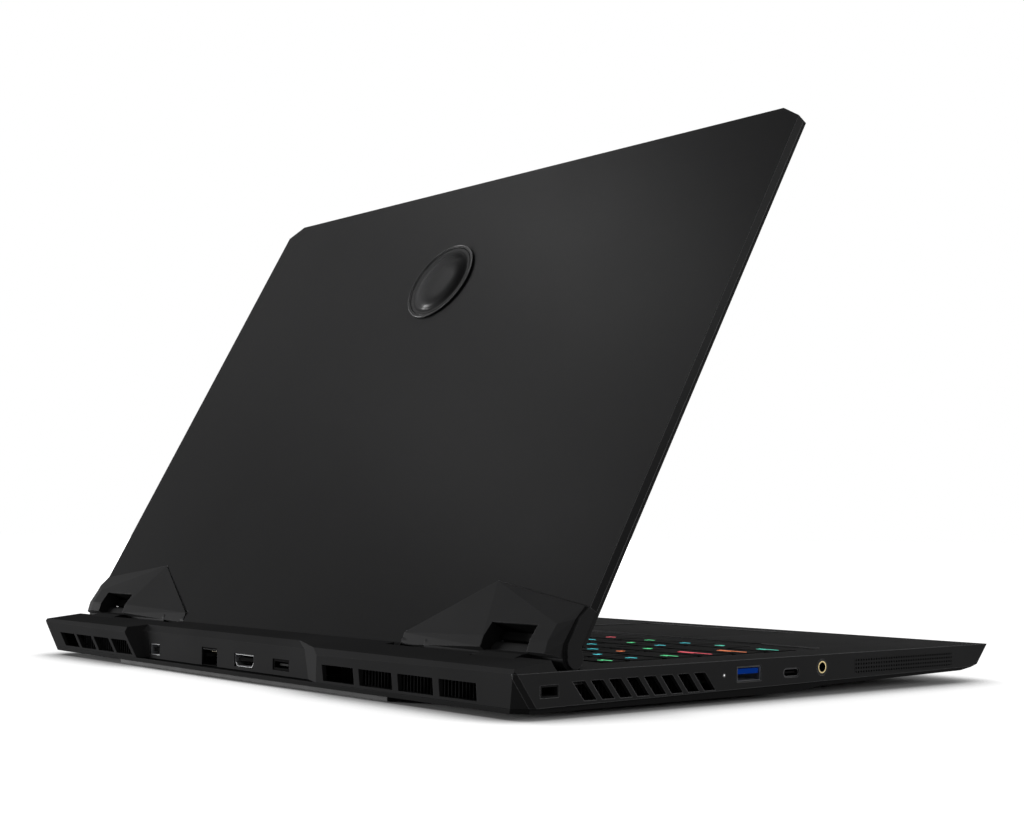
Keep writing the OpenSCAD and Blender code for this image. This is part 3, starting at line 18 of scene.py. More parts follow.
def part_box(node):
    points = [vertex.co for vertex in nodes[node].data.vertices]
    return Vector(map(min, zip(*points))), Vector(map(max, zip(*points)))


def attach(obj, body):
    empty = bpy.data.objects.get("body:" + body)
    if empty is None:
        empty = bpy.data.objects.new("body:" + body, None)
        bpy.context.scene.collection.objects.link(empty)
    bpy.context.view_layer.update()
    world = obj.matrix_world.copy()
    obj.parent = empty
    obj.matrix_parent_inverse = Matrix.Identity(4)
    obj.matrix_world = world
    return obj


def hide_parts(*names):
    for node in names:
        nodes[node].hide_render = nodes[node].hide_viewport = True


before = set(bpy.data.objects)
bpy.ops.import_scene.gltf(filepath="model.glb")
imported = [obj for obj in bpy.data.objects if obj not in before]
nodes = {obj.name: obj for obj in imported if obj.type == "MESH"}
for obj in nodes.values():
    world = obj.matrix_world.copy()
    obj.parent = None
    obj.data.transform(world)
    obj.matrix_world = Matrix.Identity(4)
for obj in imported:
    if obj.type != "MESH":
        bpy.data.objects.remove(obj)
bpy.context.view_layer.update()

MM = 0.001

# %% [markdown]
# ## The camera
#
# A lens of about 58 mm on a full-size sensor stands low behind the left corner, 6 cm above the
# table, and looks almost level. Pointing it straight at the laptop would tilt the upright edges,
# so the camera is kept level and the picture is shifted on the sensor, as a product
# photographer does with a shift lens.

# %% Stand the camera
EYE = (-0.585863, 0.481134, 0.063268)
YAW, PITCH, ROLL = (math.radians(angle) for angle in (-39.168, 0.345, 0.445))


def camera_turn(yaw, pitch, roll):
    """Columns right, up and back of a camera that looks along yaw and pitch, then rolls."""
    level = math.cos(pitch)
    ahead = Vector((level * math.cos(yaw), level * math.sin(yaw), math.sin(pitch)))
    right = ahead.cross(Vector((0, 0, 1))).normalized()
    up = right.cross(ahead)
    rolled_right = math.cos(roll) * right + math.sin(roll) * up
    rolled_up = math.cos(roll) * up - math.sin(roll) * right
    return Matrix((rolled_right, rolled_up, -ahead)).transposed()


lens = bpy.data.cameras.new("studio_camera")
lens.sensor_fit = "HORIZONTAL"
lens.sensor_width = 36
lens.lens = 57.667
lens.shift_x = 0.03537
lens.shift_y = 0.10745
lens.clip_start = 0.01
camera = bpy.data.objects.new("studio_camera", lens)
bpy.context.scene.collection.objects.link(camera)
camera.matrix_world = Matrix.Translation(EYE) @ camera_turn(YAW, PITCH, ROLL).to_4x4()
bpy.context.scene.camera = camera
bpy.context.scene.view_settings.view_transform = "Standard"
print("camera at", [round(v, 3) for v in EYE], "lens", round(lens.lens, 2))

# %% [markdown]
# ## Shader maths in plain Python
#
# A finish is a small sum: noise plus noise, a mask times a colour. Wiring that by hand takes a
# page for every finish. Here one class holds a socket and answers to +, -, *, **, > and <, and
# another holds a material and makes any node from its type, its settings and its inputs.

# %% A socket that can be added and multiplied
class Channel:
    """One output socket, usable in arithmetic with numbers and other channels."""

    def __init__(self, finish, socket):
        self.finish = finish
        self.socket = socket

    def math(self, operation, first, second):
        return self.finish.node("ShaderNodeMath", {"operation": operation}, {0: first, 1: second})

    def __add__(self, other):
        return self.math("ADD", self, other)

    def __sub__(self, other):
        return self.math("SUBTRACT", self, other)

    def __rsub__(self, other):
        return self.math("SUBTRACT", other, self)

    def __mul__(self, other):
        return self.math("MULTIPLY", self, other)

    def __pow__(self, other):
        return self.math("POWER", self, other)

    def __gt__(self, other):
        return self.math("GREATER_THAN", self, other)

    def __lt__(self, other):
        return self.math("LESS_THAN", self, other)

    def clamped(self):
        return self.finish.node("ShaderNodeClamp", None, {0: self})

    __radd__ = __add__
    __rmul__ = __mul__


print("a channel answers to + - * ** > <")


# %% A material and the one way to make its nodes
class Finish:
    """A named material. Places on it are measured in metres from the laptop's own origin."""

    def __init__(self, name, holder=None):
        """holder: a world whose nodes are made, instead of a new material's."""
        self.material = holder or bpy.data.materials.new(name)
        self.material.use_nodes = True
        self.tree = self.material.node_tree
        self.tree.nodes.clear()
        self.place = self.node("ShaderNodeTexCoord", out="Object")

    def node(self, kind, settings=None, inputs=None, out=0):
        """Settings are set first, then the values or links of the sockets."""
        made = self.tree.nodes.new(kind)
        for setting, value in (settings or {}).items():
            setattr(made, setting, value)
        for socket, value in (inputs or {}).items():
            if isinstance(value, Channel):
                self.tree.links.new(value.socket, made.inputs[socket])
            else:
                made.inputs[socket].default_value = value
        return Channel(self, made.outputs[out] if made.outputs else None)

    def noise(self, size, detail=2.0, stretch=None):
        """Cloudy noise whose blobs are about size metres across, stretched by three factors."""
        place = self.place
        if stretch:
            place = self.node("ShaderNodeVectorMath", {"operation": "MULTIPLY"},
                {0: place, 1: stretch})
        return self.node("ShaderNodeTexNoise", None,
            {"Vector": place, "Scale": 1 / size, "Detail": detail, "Roughness": 0.5})

    def length(self, vector):
        return self.node("ShaderNodeVectorMath", {"operation": "LENGTH"}, {0: vector}, out="Value")

    def from_axis(self, y, z):
        """Distance in metres from a line along X that passes through y and z."""
        return self.length(self.node("ShaderNodeVectorMath", {"operation": "MULTIPLY_ADD"},
            {0: self.place, 1: (0, 1, 1), 2: (0, -y, -z)}))

    def mixed(self, first, second, factor):
        """A colour between two colours, each three numbers or a channel."""
        first, second = ((*c, 1) if isinstance(c, tuple) else c for c in (first, second))
        return self.node("ShaderNodeMix", {"data_type": "RGBA"},
            {0: factor, 6: first, 7: second}, out=2)

    def edges(self, radius=0.0003):
        """(mask, normal rounded over the corners) for corners that the solid has sharp."""
        rounded = self.node("ShaderNodeBevel", {"samples": 4}, {"Radius": radius})
        true = self.node("ShaderNodeNewGeometry", out="True Normal")
        facing = self.node("ShaderNodeVectorMath", {"operation": "DOT_PRODUCT"},
            {0: rounded, 1: true}, out="Value")
        return ((1 - facing) * 4).clamped(), rounded

    def bump(self, height, depth, normal=None):
        inputs = {"Height": height, "Distance": depth, "Strength": 1.0}
        if normal is not None:
            inputs["Normal"] = normal
        return self.node("ShaderNodeBump", None, inputs)

    def surface(self, colour, roughness, normal=None, **constants):
        """Ends the material in a Principled shader. Spaces in socket names are written as _."""
        inputs = {"Base Color": (*colour, 1) if isinstance(colour, tuple) else colour,
                  "Roughness": roughness}
        if normal is not None:
            inputs["Normal"] = normal
        for name, value in constants.items():
            inputs[name.replace("_", " ")] = value
        self.end(self.node("ShaderNodeBsdfPrincipled", None, inputs))
        return self.material

    def end(self, shader, kind="ShaderNodeOutputMaterial"):
        self.node(kind, None, {"Surface": shader})


def shade(colour, by):
    """A colour made lighter or darker."""
    return tuple(min(1.0, part * by) for part in colour)


print("a finish makes its nodes in one way")

# %% [markdown]
# ## Moulded black plastic and black anodised sheet
#
# The base, shroud and covers of such a laptop are injection moulded and left with a fine
# spark-eroded grain, or painted with a matt lacquer that feels the same. What shows is a very
# dark grey, a grain of about a third of a millimetre, faint cloudiness from handling, and corners
# that are rounded by a few tenths of a millimetre and rubbed smoother. Those corners are also
# painted lighter, a painted highlight for the light that rounded edges catch. One recipe with
# numbers for tone, grain, gloss and that highlight serves them all. The gloss is kept very low,
# because at the flat angles of this view even a little turns black to grey.

# %% The moulded finish
def moulded(name, colour, roughness=0.5, grain=0.00035, depth=0.000012, gloss=0.3,
        edge_highlight_tone=3.0, edge_radius=0.0003):
    finish = Finish(name)
    cloud = finish.noise(0.045, 3)
    smear = finish.noise(0.012, 2, (1, 0.4, 1))
    speck = finish.noise(grain, 1)
    corner, rounded = finish.edges(edge_radius)
    tone = finish.mixed(shade(colour, 0.82), shade(colour, 1.18), cloud)
    # The corners are painted lighter here by edge_highlight_tone: a painted highlight.
    tone = finish.mixed(tone, shade(colour, edge_highlight_tone), corner * 0.6)
    rough = (roughness - 0.06) + cloud * 0.05 + smear * 0.08 - corner * 0.1
    normal = finish.bump(speck, depth, rounded)
    return finish.surface(tone, rough, normal, Specular_IOR_Level=gloss)


print("recipe: moulded plastic")


# %% The lid's anodised sheet
def anodised(name, colour, roughness, gloss):
    """Bead-blasted aluminium, dyed black: finer than moulded grain, with faint rolling lines."""
    finish = Finish(name)
    blast = finish.noise(0.00016, 1)
    rolled = finish.noise(0.0006, 2, (0.02, 1, 1))
    cloud = finish.noise(0.07, 3)
    corner, rounded = finish.edges(0.00045)
    tone = finish.mixed(shade(colour, 0.88), shade(colour, 1.12), cloud * 0.7 + rolled * 0.3)
    # The corners are painted pale grey: a painted highlight along the sheet's edges.
    tone = finish.mixed(tone, (0.22, 0.22, 0.225), corner * 0.8)
    rough = (roughness - 0.05) + cloud * 0.06 + blast * 0.05 - corner * 0.12
    return finish.surface(tone, rough, finish.bump(blast, 0.000006, rounded),
        Specular_IOR_Level=gloss)


print("recipe: anodised sheet")

# %% [markdown]
# ## Bare metals
#
# Port shells are stamped from nickel-plated steel, the jack ring is gilt, and pipes, screws and
# the plate under the keys are metal that has been blackened. Each is a metal shader whose
# roughness and bump carry the fine lines of drawing or stamping. An image of scratched metal
# would also do, but noise stretched along one axis gives the same lines at any distance. The
# rims of a shell that face out of its opening lie in the shade of the wall round it, so a mask
# picks the faces that look along that axis and paints them almost black: painted shade. The
# corners are painted a little lighter, a painted highlight. On the jack, only the ring's rim is
# gilt, and its bore is dark.

# %% The metal finish
def metal(name, colour, roughness, stretch=(1, 1, 0.04), shaded_axis=None, gilt_within=None):
    """shaded_axis: X or Y, which the rims painted dark as shade face. gilt_within: (y, z, radius).
    """
    finish = Finish(name)
    drawn = finish.noise(0.0004, 3, stretch)
    stain = finish.noise(0.006, 4)
    corner, rounded = finish.edges(0.00015)
    tone = finish.mixed(shade(colour, 0.75), colour, stain)
    # The corners are painted a little lighter: a painted highlight.
    tone = finish.mixed(tone, shade(colour, 1.25), corner * 0.5)
    # The faces that look along shaded_axis are painted almost black: painted shade.
    if shaded_axis:
        true = finish.node("ShaderNodeNewGeometry", out="True Normal")
        facing = finish.node("ShaderNodeSeparateXYZ", None, {0: true}, out=shaded_axis)
        tone = finish.mixed(tone, shade(colour, 0.05), (facing * facing) > 0.8)
    if gilt_within:
        y, z, radius = gilt_within
        away = finish.from_axis(y, z)
        tone = finish.mixed(tone, (0.012, 0.012, 0.012), (away > radius) + (away < radius * 0.83))
    rough = (roughness - 0.08) + drawn * 0.1 + stain * 0.1
    return finish.surface(tone, rough, finish.bump(drawn, 0.000006, rounded), Metallic=1.0)


print("recipe: metal")

# %% [markdown]
# ## Rubber
#
# Feet and bumpers are moulded rubber, duller than plastic and dusty on top. Two noises do it:
# a fine one for the pores, and a broad one that lightens and roughens where dust would lie. The
# corners are also painted a little lighter, a painted highlight.

# %% The rubber finish
def rubber(name, colour):
    finish = Finish(name)
    pore = finish.noise(0.0005, 4)
    dust = finish.noise(0.01, 5)
    corner, rounded = finish.edges(0.0005)
    # The corners are painted lighter: a painted highlight. The dust noise is real dust.
    tone = finish.mixed(colour, shade(colour, 2.2), dust * 0.5 + corner * 0.3)
    return finish.surface(tone, 0.78 + dust * 0.12, finish.bump(pore, 0.00003, rounded),
        Specular_IOR_Level=0.25)


print("recipe: rubber")

# %% [markdown]
# ## The dark screen
#
# A switched-off screen is nearly black behind a satin film, and its dots only just show. A cell
# pattern with no randomness is a square grid, so it draws dots of the right pitch.

# %% The screen's finish
DOT_PITCH = 0.00023


def screen_glass(name):
    finish = Finish(name)
    dots = finish.node("ShaderNodeTexVoronoi", {"feature": "F1"},
        {"Vector": finish.place, "Scale": 1 / DOT_PITCH, "Randomness": 0.0})
    cloud = finish.noise(0.06, 3)
    tone = finish.mixed((0.004, 0.0042, 0.005), (0.009, 0.0095, 0.011), dots)
    return finish.surface(tone, 0.22 + cloud * 0.06, finish.bump(dots, 0.000001),
        Specular_IOR_Level=0.35, Coat_Weight=0.15, Coat_Roughness=0.12)


print("recipe: screen, dots of", DOT_PITCH / MM, "mm")

# %% [markdown]
# ## Boards, chips and wraps
#
# A circuit board is dark lacquer over copper tracks. The tracks are drawn by bands, and a cell
# pattern turns the bands from one direction to the other. Chips, the battery and the film cable
# are dull faces divided in rectangles, which the brick texture draws.

# %% The board's finish
def circuit_board(name, lacquer, track):
    finish = Finish(name)
    patch = finish.node("ShaderNodeTexVoronoi", {"feature": "F1", "distance": "CHEBYCHEV"},
        {"Vector": finish.place, "Scale": 1 / 0.009}, out="Color")
    pick = finish.node("ShaderNodeSeparateColor", None, {0: patch})
    along, across = (finish.node("ShaderNodeTexWave", {"bands_direction": way},
        {"Vector": finish.place, "Scale": 1 / 0.0045, "Distortion": 0.0}) for way in ("X", "Y"))
    lines = finish.node("ShaderNodeMix", {"data_type": "FLOAT"},
        {0: pick > 0.5, 2: along, 3: across})
    tracks = lines > 0.62
    via = finish.node("ShaderNodeTexVoronoi", {"feature": "F1"},
        {"Vector": finish.place, "Scale": 1 / 0.0031})
    holes = via < 0.13
    tone = finish.mixed(lacquer, track, tracks * 0.8)
    tone = finish.mixed(tone, (0.55, 0.42, 0.16), holes)
    height = tracks * 0.5 + holes * 0.4
    return finish.surface(tone, 0.38 - holes * 0.1 + finish.noise(0.004, 2) * 0.1,
        finish.bump(height, 0.00004), Specular_IOR_Level=0.5)


print("recipe: circuit board")


# %% The finish of chips, battery wrap and film
def printed_face(name, colour, cell, line, roughness, raise_by):
    """Faces divided in rectangles of size cell, with lines between them."""
    finish = Finish(name)
    tile = finish.node("ShaderNodeTexBrick", {"offset": 0.0, "squash": 1.0}, {
        "Vector": finish.place, "Scale": 1.0, "Mortar Size": line, "Mortar Smooth": 0.3,
        "Brick Width": cell[0], "Row Height": cell[1], "Color1": (1, 1, 1, 1),
        "Color2": (0.7, 0.7, 0.7, 1), "Mortar": (0, 0, 0, 1)})
    cloud = finish.noise(0.02, 3)
    corner, rounded = finish.edges(0.0004)
    tone = finish.mixed(shade(colour, 0.6), colour, tile)
    # The corners are painted lighter, a painted highlight; the cloud adds random lighter patches.
    tone = finish.mixed(tone, shade(colour, 1.6), corner * 0.5 + cloud * 0.2)
    return finish.surface(tone, roughness - 0.05 + cloud * 0.12,
        finish.bump(tile, raise_by, rounded), Specular_IOR_Level=0.4)


print("recipe: printed face")

# %% [markdown]
# ## Lamps
#
# The status light and the key marks are milky plastic lit from behind. They glow a little
# unevenly, so noise feeds the colour of the glow. The status light's solid is wider than the
# spot that glows, so a distance from its axis picks the spot.

# %% The lamp finish
def lamp(name, colour, strength, core=None):
    """core: (y, z, radius) of the part that glows."""
    finish = Finish(name)
    glow = finish.mixed(shade(colour, 0.75), colour, finish.noise(0.0012, 2))
    if core:
        y, z, radius = core
        glow = finish.mixed(glow, (0.0, 0.0, 0.0), finish.from_axis(y, z) > radius)
        colour = (0.04, 0.04, 0.04)
    return finish.surface(shade(colour, 0.5), 0.45, None, Emission_Color=glow,
        Emission_Strength=strength, Specular_IOR_Level=0.3)


print("recipe: lamp")

# %% [markdown]
# ## Every solid gets its finish
#
# The table below is the laptop's list of finishes. Each row has a short name, the finish and
# the solids that wear it. A switch statement per solid would say the same at five times the
# length. Bare steel would glare at this flat angle, so what hides behind slots is painted
# black, as makers do too. The fins are darker still than the case, painted shade for the inside
# of the vents.

# %% The finish table
BLACK = (0.0205, 0.0205, 0.0208)
STEEL = (0.56, 0.57, 0.59)
# Round spots on the left wall: y and z of the middle, and the radius.
JACK_BORE = (-0.0236, 0.0111, 0.00232)
STATUS_LIGHT = (0.0321, 0.0107, 0.00036)
finishes = {
    "case_plastic": (moulded("matt case black", BLACK, 0.6, gloss=0.0012, edge_highlight_tone=12.0,
        edge_radius=0.00045), ["top_case"]),
    "case_plastic_rear": (moulded("matt shroud black", BLACK, 0.6, gloss=0.0, edge_highlight_tone=2.2),
        ["rear_shroud"]),
    "bottom_plastic": (moulded("bottom black", (0.012, 0.012, 0.0121), 0.65, 0.0005,
        gloss=0.004), ["bottom_cover"]),
    "hinge_cover_plastic": (moulded("satin cover black", (0.0155, 0.0155, 0.0158), 0.5,
        gloss=0.006, edge_highlight_tone=5.0), ["hinge_cover_left", "hinge_cover_right"]),
    "lid_aluminium": (anodised("black anodised sheet", (0.009, 0.009, 0.0092), 0.295, 0.008),
        ["lid_cover"]),
    "bezel_plastic": (moulded("bezel black", (0.012, 0.012, 0.012), 0.55, gloss=0.01),
        ["screen_bezel"]),
    "screen_glass": (screen_glass("dark screen"), ["screen_panel"]),
    "lens_plastic": (moulded("smoked lens", (0.004, 0.005, 0.008), 0.08, gloss=0.6),
        ["camera_lens"]),
    "badge_plastic": (moulded("dark badge enamel", (0.006, 0.006, 0.0062), 0.3, gloss=0.02),
        ["badge"]),
    "black_rubber": (rubber("black rubber", (0.014, 0.014, 0.014)),
        ["rubber_feet", "lid_bumpers"]),
    "screw_steel": (metal("blackened screw steel", (0.06, 0.06, 0.062), 0.4),
        ["bottom_screws"]),
    "keycap_plastic": (moulded("key black", (0.012, 0.012, 0.0122), 0.6, 0.00025, gloss=0.001,
        edge_highlight_tone=2.0), [
        "key_row_function", "key_row_number", "key_row_upper", "key_row_home", "key_row_lower",
        "key_row_bottom", "key_backspace", "key_enter", "key_shift_left", "key_shift_right",
        "key_space", "key_arrows"]),
    "keyboard_aluminium": (metal("keyboard plate black", (0.05, 0.05, 0.052), 0.5,
        (0.05, 1, 1)), ["keyboard_plate"]),
    "button_plastic": (moulded("button black", (0.014, 0.014, 0.0143), 0.4), ["power_button"]),
    "touchpad_plastic": (moulded("touchpad film", (0.018, 0.018, 0.0182), 0.6, 0.0002,
        0.000004, gloss=0.0011), ["touchpad"]),
    "port_steel": (metal("nickel plated steel", STEEL, 0.28, shaded_axis="X"), ["usb_a_shells"]),
    # The rear shells are the same nickel steel at half its colour: a darker copy, painted shade.
    "port_steel_rear": (metal("nickel plated steel, shaded copy", shade(STEEL, 0.5), 0.46,
        shaded_axis="Y"), ["hdmi_shell", "mini_dp_shell"]),
    "usb_blue": (moulded("blue tongue", (0.003, 0.032, 0.23), 0.45, gloss=0.0, edge_highlight_tone=1.5),
        ["usb_a_tongues"]),
    "port_plastic": (moulded("socket black", (0.007, 0.007, 0.007), 0.6, gloss=0.0,
        edge_highlight_tone=1.5), ["port_tongues", "audio_jack_body", "ethernet_socket", "power_inlet"]),
    "contact_brass": (metal("gilt contact", (0.5, 0.4, 0.2), 0.32, gilt_within=JACK_BORE),
        ["audio_jack_ring"]),
    "lock_steel": (moulded("black lock plate", (0.013, 0.013, 0.0132), 0.6, gloss=0.0,
        edge_highlight_tone=1.5), ["lock_slot_plate"]),
    "usb_c_steel": (metal("dark shell steel", (0.03, 0.03, 0.031), 0.45), ["usb_c_shell"]),
    "inlet_blade": (moulded("inlet blade grey", (0.035, 0.035, 0.035), 0.5, gloss=0.0,
        edge_highlight_tone=1.3), ["power_inlet_blade"]),
    "light_plastic": (lamp("white status light", (1.0, 1.0, 1.0), 0.9, core=STATUS_LIGHT),
        ["light_pipes"]),
    "board_green": (circuit_board("main board lacquer", (0.006, 0.012, 0.011),
        (0.014, 0.034, 0.03)), ["main_board", "port_boards", "memory_modules"]),
    "drive_plastic": (printed_face("drive chips", (0.02, 0.021, 0.026), (0.02, 0.016), 0.03,
        0.5, 0.0002), ["storage_drive"]),
    "chip_silicon": (metal("polished silicon", (0.30, 0.31, 0.35), 0.2, (1, 1, 1)),
        ["processor_chips"]),
    "battery_plastic": (printed_face("battery wrap", (0.02, 0.02, 0.022), (0.0437, 0.09), 0.02,
        0.55, 0.0004), ["battery"]),
    "speaker_plastic": (moulded("speaker box", (0.016, 0.016, 0.016), 0.6), ["speakers"]),
    "grille_steel": (moulded("black speaker mesh", BLACK, 0.6, gloss=0.0, edge_highlight_tone=1.0),
        ["speaker_grilles"]),
    "fan_plastic": (moulded("fan black", (0.012, 0.012, 0.013), 0.45),
        ["fan_housings", "fan_rotor_left", "fan_rotor_right"]),
    "pipe_copper": (metal("black painted copper", (0.03, 0.021, 0.018), 0.42, (1, 0.05, 1)),
        ["heat_pipes"]),
    # Fins darker than the case: painted shade for the inside of the vents.
    "fin_aluminium": (moulded("black fins with painted shade", (0.0085, 0.0085, 0.0087), 0.6, gloss=0.0,
        edge_highlight_tone=1.5), ["rear_heatsinks", "side_heatsinks"]),
    "bracket_steel": (moulded("black painted bracket", (0.018, 0.018, 0.0182), 0.6, gloss=0.0),
        ["hinge_brackets"]),
    "hinge_steel": (moulded("black painted hinge", (0.012, 0.012, 0.0122), 0.55, gloss=0.002,
        edge_highlight_tone=1.5), ["hinge_leaves", "hinge_pins"]),
    "washer_brass": (metal("browned washer brass", (0.035, 0.028, 0.016), 0.5, (0.05, 1, 1)),
        ["hinge_washers"]),
    "cable_film": (printed_face("cable film", (0.12, 0.075, 0.03), (0.4, 0.0009), 0.00012, 0.35,
        0.00005), ["screen_cable"]),
}
print("finishes", len(finishes))


# %% Dress the solids
def wear(piece, material):
    """Gives all of a piece's material slots one finish."""
    slots = piece.data.materials
    for i in range(max(1, len(slots))):
        if i < len(slots):
            slots[i] = material
        else:
            slots.append(material)


for material, wearers in finishes.values():
    for name in wearers:
        wear(nodes[name], material)
bare = sorted(set(nodes) - {n for _, wearers in finishes.values() for n in wearers})
print("solids without a finish:", bare)

# %% [markdown]
# ## Measuring loose parts of a solid
#
# A row of keys is one solid node with many caps, and marks go on each cap. Blender can tell
# which faces hang together, so the caps are found by joining faces that share a corner and
# taking the box of each group. Typing eighty positions by hand would also work, until a key
# size changes.

# %% Boxes of the separate parts of a node
def part_boxes(name):
    """[(low, high)] of each connected part of a node, in metres, in a fixed order."""
    mesh = nodes[name].data
    keys = [tuple(round(v * 1e6) for v in vertex.co) for vertex in mesh.vertices]
    root = {key: key for key in keys}

    def top(key):
        while root[key] != key:
            root[key] = root[root[key]]
            key = root[key]
        return key

    for polygon in mesh.polygons:
        corners = [keys[i] for i in polygon.vertices]
        for key in corners[1:]:
            root[top(key)] = top(corners[0])
    groups = {}
    for key in root:
        groups.setdefault(top(key), []).append(key)
    boxes = [(Vector(min(k[i] for k in g) for i in range(3)) * 1e-6,
              Vector(max(k[i] for k in g) for i in range(3)) * 1e-6) for g in groups.values()]
    return sorted(boxes, key=lambda box: (round(box[0].y, 4), round(box[0].x, 4)))


print("separate parts of the arrow keys:", len(part_boxes("key_arrows")))


# %% Make a piece from a builder
def new_piece(name, build, materials, body, smooth=False):
    """Runs build on an empty bmesh and makes the result a piece that rides on a body."""
    shape = bmesh.new()
    build(shape)
    bmesh.ops.recalc_face_normals(shape, faces=shape.faces)
    mesh = bpy.data.meshes.new(name)
    shape.to_mesh(mesh)
    shape.free()
    for material in materials:
        mesh.materials.append(material)
    for polygon in mesh.polygons:
        polygon.use_smooth = smooth
    piece = bpy.data.objects.new(name, mesh)
    bpy.context.scene.collection.objects.link(piece)
    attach(piece, body)
    return piece


# %% [markdown]
# ## Lit marks on the keys
#
# Real caps are clear plastic painted black, with the legend cut through the paint so that the
# lamp beneath shines out. The marks here are generic pairs of bars, made as thin plates that
# stand five hundredths of a millimetre proud of the cap. A texture could draw them, but thin
# plates stay sharp at the very low angle of this view. Each cap takes its colour from the
# lamps' rainbow, which runs over the keyboard in patches.

# %% Colours of the lamps, and where they are known
LAMP = {"cyan": (0.02, 0.75, 0.85), "green": (0.05, 0.85, 0.28), "red": (1.0, 0.05, 0.10),
        "orange": (1.0, 0.20, 0.03), "teal": (0.03, 0.70, 0.50)}
RAINBOW = ["green", "cyan", "teal", "orange", "red"]
LONG_CAP = 25 * MM
lamp_names = list(LAMP)
lamp_finishes = [lamp("key light " + n, LAMP[n], 0.95) for n in lamp_names]
# Places on the deck in millimetres, the lamp's colour there, and the mark's width.
known_lamps = [(-153, 64, "green", 7), (-130, 51, "cyan", 5), (-150, 51, "cyan", 5),
    (-109, 31, "cyan", 5), (-123, 31, "orange", 5), (-151, 31, "green", 9), (-88, 12, "cyan", 5),
    (-102, 12, "cyan", 5), (-119, 12, "green", 6), (-146, 12, "red", 20), (-78, -7, "cyan", 5),
    (-109, -7, "cyan", 5), (-90, -7, "green", 5), (-148, -7, "orange", 17), (-60, -26, "red", 5),
    (-105, -26, "cyan", 5), (-123, -26, "teal", 7), (-150, -26, "teal", 12)]


def lamp_at(low, high, index):
    """(colour name, mark width in mm, mark place) of a cap: a known one, or the pattern's."""
    for x, y, colour, width in known_lamps:
        if low.x / MM < x < high.x / MM and low.y / MM < y < high.y / MM:
            return colour, width, Vector((x * MM, (low.y + high.y) / 2, high.z))
    width = 5 if high.x - low.x < LONG_CAP else 12
    centre = (low + high) / 2
    wave = math.sin(centre.x * 41 + index) + math.sin(centre.y * 67 + 2 * index)
    return RAINBOW[int((wave + 2) / 4 * 4.999)], width, Vector((centre.x, centre.y, high.z))


print("lamp colours", lamp_names, "known places", len(known_lamps))


# %% Slabs and bars
def slab(shape, corners, rise, material_index=0):
    """A thin slab: corners in order round its lower face, and the same ones a rise higher."""
    lower = [shape.verts.new(corner) for corner in corners]
    upper = [shape.verts.new((x, y, z + rise)) for x, y, z in corners]
    faces = [shape.faces.new(upper), shape.faces.new(lower[::-1])]
    for i in range(len(corners)):
        j = (i + 1) % len(corners)
        faces.append(shape.faces.new((lower[i], lower[j], upper[j], upper[i])))
    for face in faces:
        face.material_index = material_index


def rounded_bar(x, y, z, width, depth, steps=5):
    """Corners of a level bar with round ends."""
    r = min(width, depth) / 2 * 0.98
    corners = []
    for quarter, (cx, cy) in enumerate([(1, 1), (-1, 1), (-1, -1), (1, -1)]):
        for k in range(steps + 1):
            angle = math.pi / 2 * (quarter + k / steps)
            corners.append((x + cx * (width / 2 - r) + r * math.cos(angle),
                            y + cy * (depth / 2 - r) + r * math.sin(angle), z))
    return corners


print("a rounded bar has", len(rounded_bar(0, 0, 0, 1, 1)), "corners")


# %% Cut the marks into each key node
MARK_RISE = 0.05 * MM
mark_count = 0
for name in finishes["keycap_plastic"][1]:
    caps = [(low, high) for low, high in part_boxes(name) if high.x - low.x > 8 * MM]

    def marks(shape, caps=caps):
        for index, (low, high) in enumerate(caps):
            colour, width, at = lamp_at(low, high, index)
            wide = width * MM * 0.85
            bars = [(0, 0, wide, 0.0011), (wide * 0.2, 0.002, wide * 0.5, 0.0008)]
            if index % 3 == 1:
                bars = [(-wide * 0.1, 0, wide * 0.8, 0.0013), (0, -0.0021, wide * 0.6, 0.0007)]
            for dx, dy, w, d in bars:
                slab(shape, rounded_bar(at.x + dx, at.y + dy, at.z, w, d), MARK_RISE,
                    lamp_names.index(colour))

    new_piece("marks_" + name, marks, lamp_finishes, name + "_body")
    mark_count += len(caps)
print("caps marked", mark_count)

# %% [markdown]
# ## Speaker mesh
#
# The sound leaves through a field of small round holes punched in a thin plate in each side
# wall. A picture of dots would look flat from close by, so the plate is built hole by hole: a
# ring of eight faces joins each hole to its square cell, and the sheet is then thickened.

# %% Punch the speaker plates
HOLE_COLUMNS, HOLE_ROWS, HOLE_RADIUS = 40, 4, 0.46 * MM
PLATE_PROUD, PLATE_SHEET, PLATE_OVER_Y, PLATE_OVER_Z = 0.04 * MM, 0.5 * MM, 0.6 * MM, 0.5 * MM


def thicken(shape, by):
    """Turns an open sheet into a plate by copying it, moved by a vector, and closing its rims."""
    faces = list(shape.faces)
    rims = [edge for edge in shape.edges if len(edge.link_faces) == 1]
    twin = {vertex: shape.verts.new(vertex.co + by) for vertex in list(shape.verts)}
    for face in faces:
        shape.faces.new([twin[vertex] for vertex in reversed(face.verts)])
    for edge in rims:
        first, second = edge.verts
        shape.faces.new((first, second, twin[second], twin[first]))


